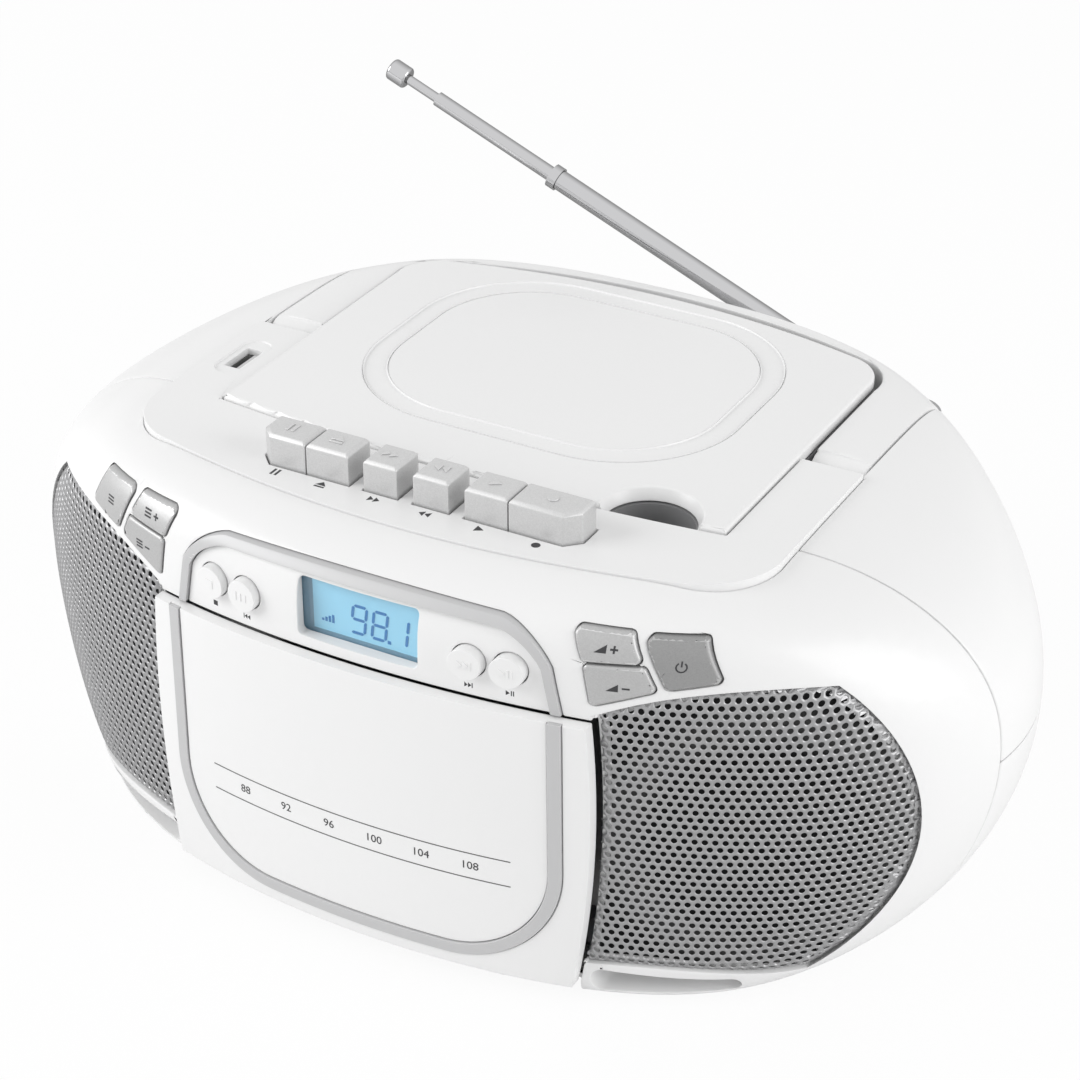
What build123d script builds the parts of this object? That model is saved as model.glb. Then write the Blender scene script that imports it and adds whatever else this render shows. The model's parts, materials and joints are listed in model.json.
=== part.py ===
"""Portable stereo with a disc player, a cassette deck and a radio, built as separate pieces.

Millimetres, +Z up, front towards -Y. The sizes below are counted from a point under the middle
of the body. Each finished piece is then moved, so that the origin lies under the middle of the
whole, with the aerial behind the body.
"""

from build123d import *
from math import cos, pi, radians, sin, sqrt
import os

os.makedirs("parts", exist_ok=True)

# Body form: plan outlines follow an ellipse that the rounded ends cut short
PLAN_HALF_WIDTH = 164.0
PLAN_MID_Y = 3.0
END_SHARPNESS = 6
WAIST_Z = 70.0
WAIST_HALF_WIDTH = 159.6
BODY_TOP = 127.0
TOP_HALF_WIDTH = 88.0
BODY_BOTTOM = 2.5
BOTTOM_HALF_WIDTH = 120.0
FRONT_DEPTH = 96.0
FRONT_TOP_DEPTH = 73.0
FRONT_ROUND_Z = 110.0
BACK_DEPTH = 102.0
BACK_TOP_DEPTH = 95.0
BACK_ROUND_Z = 108.0
FOOT_ROUND_Z = 5.0
FOOT_TUCK = 1.0
WALL = 3.4
OUTLINE_POINTS = 28
UPPER_ANGLES = (20, 40, 55, 68, 80, 90)
LOWER_ANGLES = (90, 78, 64, 48, 28, 0)

MIDDLE_SHIFT = -9.4

# Seams between the three cabinet shells
SEAM_GAP = 0.4
SEAM_INNER = (101.0, -27.0)
SEAM_OUTER = (175.0, -7.0)
BACK_SEAM_Z = 66.0

# Deck plate on top, with the lid opening behind the keys
DECK_TOP = 127.5
DECK_THICK = 3.0
DECK_HALF = 101.0
STRIP_END_Y = 16.8
LID_HALF = 81.6
LID_TOP = 128.8
LID_THICK = 3.9
LID_GAP = 0.6
LID_CORNER = (LID_HALF, -31.8)
LID_FRONT_Y = -37.0
LID_BACK_Y = 90.5
LID_HINGE = (79.0, 121.0)
LID_PIN_R = 2.0
LID_LUG_X = 56.0
NOTCH = (59.7, -33.4)
NOTCH_R = 12.7
NOTCH_RIM_R = 14.8
DISC_Y = 26.5
WELL_R = 61.5
WELL_FLOOR = 113.0
TRAY_BOTTOM = 110.0

# Handle
ARM_INNER = 83.2
ARM_OUTER = 100.0
ARM_END_R = 6.6
HANDLE_FLOOR = 114.0
HANDLE_GAP = 0.5
HANDLE_PIVOT = (25.0, 119.5)
PIN_R = 2.5
RUN_CLEAR = 0.05

# Front: door, arch, grilles, buttons
DOOR_PROUD = 3.5
BAND_PROUD = 4.1
BAND_SEAT = 2.5
BAND_CORNER = 34.0
DOOR_AXIS = (-83.6, 8.5)
DOOR_GAP = 0.6
DOOR_BOTTOM = 5.6
DOOR_FOOT = 66.0
SILL_BACK = 80.0
RIB_X = 73.0
RIB_THICK = 2.5
CHASSIS_Y = -62.0
ARCH_PROUD = 0.8
ARCH_BACK = 82.0
ARCH_WIDTH = 2.8
TRIM_WIDTH = 3.7
TRIM_GAP = 0.25
GRILLE_DEPTH = 2.2
GRILLE_THICK = 1.2
SPEAKER_X = 111.0
SPEAKER_Z = 56.0
SPEAKER_R = 31.0
BUTTON_GAP = 0.35
BUTTON_PROUD = 0.6
ROUND_R = 4.75
ROUND_Z = 105.6
ROUND_XS = {"button_stop": -47.0, "button_skip_back": -35.3, "button_skip_on": 35.3, "button_pair": 47.0}
ROUND_BACK = 84.0
ROUND_GAP = 0.3
ROUND_PROUD = 2.2
WINDOW = (37.8, 17.6)
WINDOW_ROUND = 1.6
WINDOW_THICK = 1.2
WINDOW_AT = (1.5, 107.8)
WINDOW_Y = -88.8

# Piano keys, each from its left to its right side
KEYS = {
    "key_pause": (-51.2, -35.5),
    "key_stop_eject": (-35.2, -21.3),
    "key_fast_forward": (-16.5, -5.6),
    "key_rewind": (-0.5, 10.8),
    "key_play": (15.8, 29.2),
    "key_record": (29.5, 50.2),
}
KEY_FRONT = -58.3
KEY_BACK = -46.5
KEY_TOP = 137.0
KEY_FOOT = 112.0
KEY_CLEAR = 0.5
KEY_SLANT = 4.0
KEY_EDGE = 1.0

# Aerial, raised to the left as it stands in use
AERIAL_PIVOT = (82.0, 112.0, 95.0)
AERIAL_ANGLE = 157.1
TUBE_RADII = (3.4, 2.45, 1.6)
TUBE_ENDS = (143.7, 190.0, 203.0)
TUBE_CLEAR = 0.05
MIDDLE_LENGTH = 130.0
TIP_LENGTH = 115.0
KNOB_R = 3.7
SWIVEL_Y = 106.0
FORK_INNER = 3.8
ELBOW_PIN_R = 1.2

# Clearances and small sizes of the shells
FRONT_REACH = 130.0
BACK_WALL_Y = PLAN_MID_Y + BACK_DEPTH
DECK_GAP = 0.2
FRAME_THICK = 3.5
FRAME_LEDGE = 4.0
PANEL_SUNK = 0.4
GRILLE_GAP = 0.3
GRILLE_RUN_OUT = ((67.2, 13.2), (69.5, 13.2), (72.6, 60.0), (71.6, 94.6), (69.0, 94.6), (69.5, 60.0))
SPEAKER_SET_BACK = 10.0
RING_MARGIN = 3.0
MAGNET_R = 16.0
RIB_Z = 54.0
RIB_TALL = 92.0
DOOR_CUT_FROM = 70.0
DOOR_PIN_R = 1.8
BRACKET_X = 48.0
BRACKET_WIDE = 4.0
BRACKET_R = 2.5
PORT_ENDS = ((72.8, 7.0, 3.5), (104.8, 7.0, 2.3))
PORT_FLOOR_Y = -62.0
PORT_WALL = 2.0
SHELF_THICK = 3.0
CHEEK_X = 100.6
CHEEK_THICK = 3.0
AERIAL_BOSS_FROM = 80.0
AERIAL_BOSS_R = 9.0
AERIAL_BOSS_PROUD = 1.0
SWIVEL_PIN_R = 2.5
BOARD_Z = 84.0
BOARD_POSTS = ((-78, 70), (70, -15), (-78, -15))
POST_R = 4.0
INLET_AT = (-80.0, 30.0)
INLET_HOLE = (22.0, 12.0)
JACK_AT = (-56.0, 30.0)
JACK_R = 4.5
SCREWS_AT = ((-60, 5), (60, 5), (-90, 12), (90, 12))
SCREW_HEAD_R = 3.0
SCREW_R = 1.5
SCREW_SEAT = 4.6

# Battery bay and its door in the back
BAY_X = (-45.0, 95.0)
BAY_FRONT_Y = 40.0
BAY_TOP = 62.0
BAY_WALL = 2.0
COVER_X = (-35.0, 85.0)
COVER_Z = (14.0, 54.0)
COVER_GAP = 0.3
BACK_CUT_FROM = 80.0

# Disc drive
TRAY_GAP = 0.2
TRAY_TOP = 124.4
TRAY_SKIN = 2.5
TABLE_R = 15.0
TABLE_TOP = 116.5
SPINDLE_R = 1.0
SLED_X = 18.0
SLED_Y = (-20.0, 0.0)

# Cassette drive
HUB_X = 21.25
HUB_Z = 52.0
CAPSTAN = (28.0, 84.0)
CAPSTAN_R = 1.2
FLYWHEEL_R = 17.0
MOTOR_AT = (-40.0, 40.0)
PULLEY_R = 4.0
BELT_Y = 54.3
BELT_WIDE = 2.4
BELT_THICK = 1.2
HOLDER = (109.0, 15.0, 60.0)
HOLDER_WALL = 2.5
HOLDER_FRONT = 85.5

# Data socket in the left strip of the deck
DATA_AT = (-91.7, -6.4)
DATA_HOLE = (5.5, 13.0)


def half_width(angle, upper, inset):
    """Half-width and height on the rounded end, where angle 0 is the waist and 90 the flat top or bottom."""
    flat = TOP_HALF_WIDTH if upper else BOTTOM_HALF_WIDTH
    rise = (BODY_TOP - WAIST_Z if upper else BODY_BOTTOM - WAIST_Z)
    rise -= inset if upper else -inset
    width = flat + (WAIST_HALF_WIDTH - flat) * cos(radians(angle)) - inset
    return width, WAIST_Z + rise * sin(radians(angle))


def rounded(level, start, end, full, last):
    """Depth at a level, full up to start and then on a quarter ellipse down to last at end."""
    step = min(1.0, max(0.0, (level - start) / (end - start)))
    return last + (full - last) * sqrt(1 - step * step)


def depths(level, inset):
    """Front and back depth of the plan outline at a level."""
    top = BODY_TOP - inset
    front = rounded(level, FRONT_ROUND_Z - inset, top, FRONT_DEPTH, FRONT_TOP_DEPTH)
    back = rounded(level, BACK_ROUND_Z - inset, top, BACK_DEPTH, BACK_TOP_DEPTH)
    bottom = BODY_BOTTOM + inset
    tuck = FOOT_TUCK - rounded(-level, -FOOT_ROUND_Z - inset, -bottom, FOOT_TUCK, 0.0)
    return front - tuck - inset, back - tuck - inset


def plan_outline(width, level, inset):
    """Points of the closed plan outline at a level."""
    front, back = depths(level, inset)
    reach = PLAN_HALF_WIDTH - inset
    points = []
    for step in range(OUTLINE_POINTS):
        turn = 2 * pi * (step + 0.5) / OUTLINE_POINTS
        short = ((reach / width) ** END_SHARPNESS - 1) * abs(cos(turn)) ** END_SHARPNESS
        scale = (1 + short) ** (-1 / END_SHARPNESS)
        depth = back if sin(turn) > 0 else front
        points.append((scale * reach * cos(turn), PLAN_MID_Y + scale * depth * sin(turn)))
    return points


def body_form(inset):
    """The whole body as one solid, with every face moved in by inset."""
    sections = [half_width(angle, False, inset) for angle in LOWER_ANGLES]
    sections += [half_width(angle, True, inset) for angle in UPPER_ANGLES]
    with BuildPart() as form:
        for width, level in sections:
            with BuildSketch(Plane.XY.offset(level)):
                with BuildLine():
                    Spline(*plan_outline(width, level, inset), periodic=True)
                make_face()
        loft()
    return form.part


def front_zone(gap):
    """Everything in front of the slanted seam."""
    inner_x, inner_y = SEAM_INNER
    outer_x, outer_y = SEAM_OUTER
    with BuildPart() as zone:
        with BuildSketch(Plane.XY):
            with BuildLine():
                Polyline(
                    (-outer_x, -150), (outer_x, -150), (outer_x, outer_y - gap), (inner_x, inner_y - gap),
                    (-inner_x, inner_y - gap), (-outer_x, outer_y - gap), close=True,
                )
            make_face()
        extrude(amount=150)
    return zone.part


def lid_face(gap):
    """Plan of the disc lid, grown by gap."""
    half, corner_y = LID_CORNER
    with BuildSketch() as face:
        with BuildLine():
            ThreePointArc((-half, corner_y), (0, LID_FRONT_Y), (half, corner_y))
            Line((half, corner_y), (half, 66))
            ThreePointArc((half, 66), (79.3, 75), (71, 80.6))
            ThreePointArc((71, 80.6), (0, LID_BACK_Y), (-71, 80.6))
            ThreePointArc((-71, 80.6), (-79.3, 75), (-half, 66))
            Line((-half, 66), (-half, corner_y))
        make_face()
        if gap:
            offset(amount=gap)
    return face.sketch


def deck_face():
    """Plan of the deck plate before the lid opening is cut."""
    with BuildSketch() as face:
        with BuildLine():
            ThreePointArc((-81, -60.5), (0, -71), (81, -60.5))
            ThreePointArc((81, -60.5), (95.2, -52.5), (DECK_HALF, -38))
            Polyline((DECK_HALF, -38), (DECK_HALF, STRIP_END_Y), (-DECK_HALF, STRIP_END_Y), (-DECK_HALF, -38))
            ThreePointArc((-DECK_HALF, -38), (-95.2, -52.5), (-81, -60.5))
        make_face()
    return face.sketch


def door_face(gap):
    """Front view of the cassette door, grown by gap."""
    with BuildSketch() as face:
        with BuildLine():
            ThreePointArc((69, 93), (0, 94.8), (-69, 93))
            ThreePointArc((-69, 93), (-70.5, 58), (-DOOR_FOOT, DOOR_BOTTOM))
            Line((-DOOR_FOOT, DOOR_BOTTOM), (DOOR_FOOT, DOOR_BOTTOM))
            ThreePointArc((DOOR_FOOT, DOOR_BOTTOM), (70.5, 58), (69, 93))
        make_face()
        if gap:
            offset(amount=gap)
    return face.sketch


def arch_face(gap):
    """Front view of the arch around the display, grown by gap."""
    with BuildSketch() as face:
        with BuildLine():
            Polyline((58.4, 108.5), (62, 90), (-62, 90), (-58.4, 108.5))
            ThreePointArc((-58.4, 108.5), (-53.9, 114.7), (-43.5, 120.1))
            ThreePointArc((-43.5, 120.1), (0, 121.1), (43.5, 120.1))
            ThreePointArc((43.5, 120.1), (53.9, 114.7), (58.4, 108.5))
        make_face()
        if gap:
            offset(amount=gap)
    return face.sketch


def grille_face(side, gap):
    """Front view of one speaker grille, grown by gap."""
    with BuildSketch() as face:
        with BuildLine():
            ThreePointArc((side * 70.6, 95.4), (side * 97, 104.2), (side * 125.2, 104.2))
            ThreePointArc((side * 125.2, 104.2), (side * 145.3, 58), (side * 121, 9.2))
            ThreePointArc((side * 121, 9.2), (side * 97, 12.9), (side * 68.4, 12.8))
            ThreePointArc((side * 68.4, 12.8), (side * 71.9, 62), (side * 70.6, 95.4))
        make_face()
        if gap:
            offset(amount=gap)
    return face.sketch


def port_face(side, grow):
    """Front view of the bass port below one grille, grown by grow."""
    with BuildSketch() as face:
        for x, z, radius in PORT_ENDS:
            with Locations((side * x, z)):
                Circle(radius + grow)
        make_hull()
    return face.sketch


def key_face(name, gap):
    """Plan of one piano key, grown by gap; the outermost two have a slanted front corner."""
    left, right = KEYS[name]
    corners = [(left, KEY_BACK), (left, KEY_FRONT), (right, KEY_FRONT), (right, KEY_BACK)]
    if name == "key_pause":
        corners[1:2] = [(left, KEY_FRONT + KEY_SLANT), (left + KEY_SLANT, KEY_FRONT)]
    if name == "key_record":
        corners[2:3] = [(right - KEY_SLANT, KEY_FRONT), (right, KEY_FRONT + KEY_SLANT)]
    with BuildSketch() as face:
        with BuildLine():
            Polyline(*corners, close=True)
        make_face()
        if gap:
            offset(amount=gap, kind=Kind.INTERSECTION)
    return face.sketch


def grip_hollow():
    """Plan of the space between the arms of the handle."""
    corner = ((ARM_INNER, 66), (81.9, 75.6), (76.0, 82.4))
    with BuildSketch() as face:
        with BuildLine():
            Polyline((-ARM_INNER, 66), (-ARM_INNER, 0), (ARM_INNER, 0), (ARM_INNER, 66))
            ThreePointArc(*corner)
            ThreePointArc((76.0, 82.4), (0, 95.8), (-76.0, 82.4))
            ThreePointArc(*[(-x, y) for x, y in reversed(corner)])
        make_face()
    return face.sketch


def band_face(gap):
    """Front view of the band on the cassette door, grown by gap on both sides."""
    with BuildSketch() as face:
        with BuildLine():
            Polyline((62.5, 105), (63.5, 9.6), (-63.5, 9.6), (-62.5, 105), close=True)
        make_face()
        fillet(face.vertices().group_by(Axis.Y)[0], BAND_CORNER)
        offset(amount=gap)
    with BuildSketch() as inside:
        with BuildLine():
            Polyline((62.5, 105), (63.5, 9.6), (-63.5, 9.6), (-62.5, 105), close=True)
        make_face()
        fillet(inside.vertices().group_by(Axis.Y)[0], BAND_CORNER)
        offset(amount=-TRIM_WIDTH - gap)
        with Locations((0, 108)):
            Rectangle(117.4 - 2 * gap, 20)
    with BuildSketch() as band:
        add(face.sketch)
        add(inside.sketch, mode=Mode.SUBTRACT)
    return band.sketch


def belt_face(grow):
    """Outline around the flywheel and the motor pulley, grown by grow."""
    with BuildSketch() as face:
        with Locations(CAPSTAN):
            Circle(FLYWHEEL_R + grow)
        with Locations(MOTOR_AT):
            Circle(PULLEY_R + grow)
        make_hull()
    return face.sketch


BROW_BUTTONS = {
    "upper": ((62.6, 120.6), (77.6, 120.2), (81.6, 112.4), (66.2, 111.7)),
    "lower": ((66.4, 111.1), (82.0, 111.8), (85.3, 104.8), (68.6, 98.3)),
    "outer": ((80.7, 119.9), (95.2, 119.5), (100.8, 108.2), (87.6, 105.4)),
}
BROW_NAMES = {
    (-1, "outer"): "button_program",
    (-1, "upper"): "button_memory_up",
    (-1, "lower"): "button_memory_down",
    (1, "upper"): "button_volume_up",
    (1, "lower"): "button_volume_down",
    (1, "outer"): "button_power",
}
BROW_ROUND = 1.4
BROW_BACK = {"upper": 74.0, "lower": 73.0, "outer": 67.0}


def brow_face(side, place, gap):
    """Front view of one shaped button, grown by gap."""
    with BuildSketch() as face:
        with BuildLine():
            Polyline(*[(side * x, z) for x, z in BROW_BUTTONS[place]], close=True)
        make_face()
        fillet(face.vertices(), BROW_ROUND)
        if gap:
            offset(amount=gap)
    return face.sketch


def write(piece, name):
    """Moves a finished piece into the frame of the whole, labels it and writes its file."""
    placed = piece.moved(Location((0, MIDDLE_SHIFT, 0)))
    placed.label = name
    export_step(placed, f"parts/{name}.step")


# Body forms that the shells and the front pieces are cut from
outer_form = body_form(0.0)
inner_form = body_form(WALL)
grille_seat = body_form(GRILLE_DEPTH)
grille_front = body_form(GRILLE_DEPTH - GRILLE_THICK)
button_front = body_form(-BUTTON_PROUD)
arch_front = body_form(-ARCH_PROUD)
round_front = body_form(-ROUND_PROUD)
panel_front = body_form(PANEL_SUNK)
door_front = body_form(-DOOR_PROUD)
band_front = body_form(-BAND_PROUD)
band_seat = body_form(-BAND_SEAT)

# Hollow shell, and the frame below the edge of the deck plate
with BuildPart() as shell:
    add(outer_form)
    add(inner_form, mode=Mode.SUBTRACT)

with BuildPart() as deck_frame:
    with BuildSketch(Plane.XY.offset(DECK_TOP - DECK_THICK - FRAME_THICK)):
        add(deck_face())
        offset(amount=FRAME_LEDGE)
    extrude(amount=FRAME_THICK)
    add(grille_front, mode=Mode.INTERSECT)

# Opening for the deck plate: a seat as wide as the plate, and a narrower hole below it
with BuildPart() as deck_cut:
    with BuildSketch(Plane.XY.offset(DECK_TOP - DECK_THICK)):
        add(deck_face())
        offset(amount=DECK_GAP)
    extrude(amount=20)
    with BuildSketch(Plane.XY.offset(BODY_TOP - 12)):
        add(deck_face())
        offset(amount=-FRAME_LEDGE)
    extrude(amount=20)
    with BuildSketch(Plane.XY.offset(HANDLE_FLOOR)):
        add(lid_face(LID_GAP))
    extrude(amount=20)

# Speaker planes stand square to the curved front
speaker_planes = {}
for side in (-1, 1):
    drop = FRONT_DEPTH * sqrt(1 - (SPEAKER_X / PLAN_HALF_WIDTH) ** 2)
    inward = (-side * SPEAKER_X / PLAN_HALF_WIDTH**2, drop / FRONT_DEPTH**2, 0)
    centre = (side * SPEAKER_X, PLAN_MID_Y - drop, SPEAKER_Z)
    speaker_planes[side] = Plane(origin=centre, z_dir=inward, x_dir=(0, 0, 1))

# Shallow seats that the grilles lie in, open towards the cassette door
with BuildPart() as grille_seats:
    for side in (-1, 1):
        with BuildSketch(Plane.XZ):
            add(grille_face(side, GRILLE_GAP))
            with BuildLine():
                Polyline(*[(side * x, z) for x, z in GRILLE_RUN_OUT], close=True)
            make_face()
        extrude(amount=FRONT_REACH)
    add(grille_seat, mode=Mode.SUBTRACT)

# Brackets on the floor that the pins of the cassette door turn in
with BuildPart() as door_brackets:
    for side in (-1, 1):
        with BuildSketch(Plane.YZ.offset(side * BRACKET_X)):
            with Locations((DOOR_AXIS[0] + 8, DOOR_AXIS[1] - 0.5)):
                Rectangle(16, 3)
            with Locations((DOOR_AXIS[0] + 10.5, DOOR_AXIS[1] - 2.5)):
                Rectangle(11, 7)
            with Locations(DOOR_AXIS):
                Circle(BRACKET_R)
                Circle(DOOR_PIN_R + RUN_CLEAR, mode=Mode.SUBTRACT)
        extrude(amount=side * BRACKET_WIDE)
    add(outer_form, mode=Mode.INTERSECT)

# Front cabinet: the rim, the brow, the speaker rings, the bass ports and the ribs beside the door
with BuildPart() as front_cabinet:
    for side in (-1, 1):
        with BuildSketch(speaker_planes[side]):
            Circle(SPEAKER_R + RING_MARGIN)
        extrude(amount=SPEAKER_SET_BACK)
        with BuildSketch(Plane.XZ.offset(-CHASSIS_Y)):
            with Locations((side * (RIB_X + RIB_THICK / 2), RIB_Z)):
                Rectangle(RIB_THICK, RIB_TALL)
        extrude(amount=FRONT_REACH)
        with BuildSketch(Plane.XZ.offset(-PORT_FLOOR_Y - PORT_WALL)):
            add(port_face(side, PORT_WALL))
        extrude(amount=FRONT_REACH)
    add(outer_form, mode=Mode.INTERSECT)
    add(shell.part)
    add(deck_frame.part)
    with BuildSketch(Plane.XZ.offset(DOOR_CUT_FROM)):
        add(door_face(DOOR_GAP))
    extrude(amount=FRONT_REACH, mode=Mode.SUBTRACT)
    with BuildSketch(Plane.XZ.offset(SILL_BACK)):
        with Locations((0, DOOR_BOTTOM / 2)):
            Rectangle(2 * (DOOR_FOOT + DOOR_GAP), DOOR_BOTTOM)
    extrude(amount=FRONT_REACH, mode=Mode.SUBTRACT)
    add(door_brackets.part)
    add(front_zone(SEAM_GAP), mode=Mode.INTERSECT)
    add(deck_cut.part, mode=Mode.SUBTRACT)
    add(grille_seats.part, mode=Mode.SUBTRACT)
    with BuildSketch(Plane.XZ):
        add(arch_face(TRIM_GAP))
    extrude(amount=FRONT_REACH, mode=Mode.SUBTRACT)
    for side in (-1, 1):
        for place in BROW_BUTTONS:
            with BuildSketch(Plane.XZ):
                add(brow_face(side, place, BUTTON_GAP))
            extrude(amount=FRONT_REACH, mode=Mode.SUBTRACT)
        with BuildSketch(Plane.XZ.offset(-PORT_FLOOR_Y)):
            add(port_face(side, 0.0))
        extrude(amount=FRONT_REACH, mode=Mode.SUBTRACT)
        with BuildSketch(speaker_planes[side]):
            Circle(SPEAKER_R - RING_MARGIN)
        extrude(amount=SPEAKER_SET_BACK + 1, both=True, mode=Mode.SUBTRACT)
write(front_cabinet.part, "front_cabinet")

# Speaker grilles: curved sheets, lying in their seats
for side, name in ((-1, "speaker_grille_left"), (1, "speaker_grille_right")):
    with BuildPart() as grille:
        with BuildSketch(Plane.XZ):
            add(grille_face(side, 0.0))
        extrude(amount=FRONT_REACH)
        add(grille_front, mode=Mode.INTERSECT)
        add(grille_seat, mode=Mode.SUBTRACT)
    write(grille.part, name)

# Speakers: flange, cone, and magnet behind
for side, name in ((-1, "speaker_left"), (1, "speaker_right")):
    with BuildPart() as speaker:
        with BuildSketch(speaker_planes[side].offset(SPEAKER_SET_BACK)):
            Circle(SPEAKER_R)
        extrude(amount=2.0)
        with BuildSketch(speaker_planes[side].offset(SPEAKER_SET_BACK + 2.0)):
            Circle(SPEAKER_R - 4)
        extrude(amount=14, taper=40)
        with BuildSketch(speaker_planes[side].offset(SPEAKER_SET_BACK + 16.0)):
            Circle(MAGNET_R)
        extrude(amount=12)
        with BuildSketch(speaker_planes[side].offset(SPEAKER_SET_BACK)):
            Circle(SPEAKER_R - 6)
        extrude(amount=11, taper=45, mode=Mode.SUBTRACT)
        with BuildSketch(speaker_planes[side].offset(SPEAKER_SET_BACK)):
            with PolarLocations(SPEAKER_R - 2.6, 4, start_angle=45):
                Circle(1.4)
        extrude(amount=2.0, mode=Mode.SUBTRACT)
    write(speaker.part, name)

# Top cabinet: the ends above the back seam, and the shelf that the folded handle lies on
with BuildPart() as top_cabinet:
    with BuildSketch(Plane.XY.offset(HANDLE_FLOOR - SHELF_THICK)):
        with Locations((0, STRIP_END_Y + 60)):
            Rectangle(2 * (DECK_HALF + 6), 120)
        add(lid_face(LID_GAP), mode=Mode.SUBTRACT)
    extrude(amount=SHELF_THICK)
    for side in (-1, 1):
        with BuildSketch(Plane.YZ.offset(side * CHEEK_X)):
            with Locations((STRIP_END_Y + 50, HANDLE_FLOOR + 6)):
                Rectangle(104, 18)
        extrude(amount=side * CHEEK_THICK)
    with BuildSketch(Plane.XZ.offset(-AERIAL_BOSS_FROM)):
        with Locations((AERIAL_PIVOT[0], AERIAL_PIVOT[2])):
            Circle(AERIAL_BOSS_R)
    extrude(amount=-(BACK_WALL_Y - AERIAL_BOSS_FROM))
    add(outer_form, mode=Mode.INTERSECT)
    add(shell.part)
    add(deck_frame.part)
    with BuildSketch(Plane.XZ.offset(-BACK_WALL_Y + 14)):
        with Locations((AERIAL_PIVOT[0], AERIAL_PIVOT[2])):
            Circle(AERIAL_BOSS_R)
    extrude(amount=-14 - AERIAL_BOSS_PROUD)
    with BuildSketch(Plane.XY.offset(BACK_SEAM_Z + SEAM_GAP)):
        with Locations((0, 60)):
            Rectangle(2 * SEAM_OUTER[0], 260)
    extrude(amount=80, mode=Mode.INTERSECT)
    add(front_zone(0.0), mode=Mode.SUBTRACT)
    add(deck_cut.part, mode=Mode.SUBTRACT)
    with BuildSketch(Plane.XY.offset(HANDLE_FLOOR)):
        with Locations((0, STRIP_END_Y + 60)):
            Rectangle(2 * CHEEK_X, 120)
    extrude(amount=30, mode=Mode.SUBTRACT)
    for side in (-1, 1):
        with BuildSketch(Plane.XY.offset(HANDLE_FLOOR - SHELF_THICK - 1)):
            with Locations((side * (CHEEK_X + ARM_INNER) / 2, HANDLE_PIVOT[0])):
                Rectangle(CHEEK_X - ARM_INNER + 0.8, 16.8)
        extrude(amount=10, mode=Mode.SUBTRACT)
    with BuildSketch(Plane.YZ.offset(-CHEEK_X - CHEEK_THICK)):
        with Locations(HANDLE_PIVOT):
            Circle(PIN_R + RUN_CLEAR)
    extrude(amount=2 * (CHEEK_X + CHEEK_THICK), mode=Mode.SUBTRACT)
    with BuildSketch(Plane.XZ.offset(-AERIAL_BOSS_FROM)):
        with Locations((AERIAL_PIVOT[0], AERIAL_PIVOT[2])):
            Circle(SWIVEL_PIN_R + RUN_CLEAR)
    extrude(amount=-60, mode=Mode.SUBTRACT)
write(top_cabinet.part, "top_cabinet")

# Rear cabinet: lower back, with the battery bay and the posts below the main board
with BuildPart() as battery_bay:
    with BuildSketch(Plane.XY):
        with Locations(((BAY_X[0] + BAY_X[1]) / 2, BAY_FRONT_Y + 40)):
            Rectangle(BAY_X[1] - BAY_X[0] + 2 * BAY_WALL, 80 + 2 * BAY_WALL)
    extrude(amount=BAY_TOP + BAY_WALL)
    with BuildSketch(Plane.XY):
        with Locations(((BAY_X[0] + BAY_X[1]) / 2, BAY_FRONT_Y + 50)):
            Rectangle(BAY_X[1] - BAY_X[0], 100)
    extrude(amount=BAY_TOP, mode=Mode.SUBTRACT)
    add(outer_form, mode=Mode.INTERSECT)

with BuildPart() as rear_cabinet:
    add(shell.part)
    add(battery_bay.part)
    with BuildSketch(Plane.XY):
        with Locations((0, 60)):
            Rectangle(2 * SEAM_OUTER[0], 260)
    extrude(amount=BACK_SEAM_Z, mode=Mode.INTERSECT)
    with BuildSketch(Plane.XY.offset(BODY_BOTTOM + 1)):
        with Locations(*BOARD_POSTS):
            Circle(POST_R)
    extrude(amount=BOARD_Z - BODY_BOTTOM - 1)
    add(front_zone(0.0), mode=Mode.SUBTRACT)
    with BuildSketch(Plane.XZ.offset(-BACK_CUT_FROM)):
        with Locations(((COVER_X[0] + COVER_X[1]) / 2, (COVER_Z[0] + COVER_Z[1]) / 2)):
            Rectangle(COVER_X[1] - COVER_X[0], COVER_Z[1] - COVER_Z[0])
        with Locations(INLET_AT):
            SlotOverall(*INLET_HOLE)
        with Locations(JACK_AT):
            Circle(JACK_R + 0.1)
    extrude(amount=-40, mode=Mode.SUBTRACT)
    with BuildSketch(Plane.XY):
        with Locations(*SCREWS_AT):
            Circle(SCREW_HEAD_R + 0.2)
    extrude(amount=SCREW_SEAT, mode=Mode.SUBTRACT)
    with BuildSketch(Plane.XY):
        with Locations(*SCREWS_AT):
            Circle(SCREW_R + RUN_CLEAR)
    extrude(amount=20, mode=Mode.SUBTRACT)
write(rear_cabinet.part, "rear_cabinet")

# Cover of the battery bay, which pulls straight off
with BuildPart() as battery_door:
    with BuildSketch(Plane.XZ.offset(-BACK_CUT_FROM)):
        with Locations(((COVER_X[0] + COVER_X[1]) / 2, (COVER_Z[0] + COVER_Z[1]) / 2)):
            Rectangle(COVER_X[1] - COVER_X[0] - 2 * COVER_GAP, COVER_Z[1] - COVER_Z[0] - 2 * COVER_GAP)
    extrude(amount=-40)
    add(shell.part, mode=Mode.INTERSECT)
write(battery_door.part, "battery_door")

# Battery contacts: a plate and two spring bosses at each end of the bay
with BuildPart() as battery_contacts:
    for end, way in ((BAY_X[0], 1), (BAY_X[1], -1)):
        with BuildSketch(Plane.YZ.offset(end)):
            with Locations((62, 34)):
                Rectangle(32, 36)
        extrude(amount=way * 0.8)
        with BuildSketch(Plane.YZ.offset(end + way * 0.8)):
            with Locations((54, 34), (70, 34)):
                Circle(6)
        extrude(amount=way * 7, taper=20)
write(battery_contacts.part, "battery_contacts")

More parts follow.
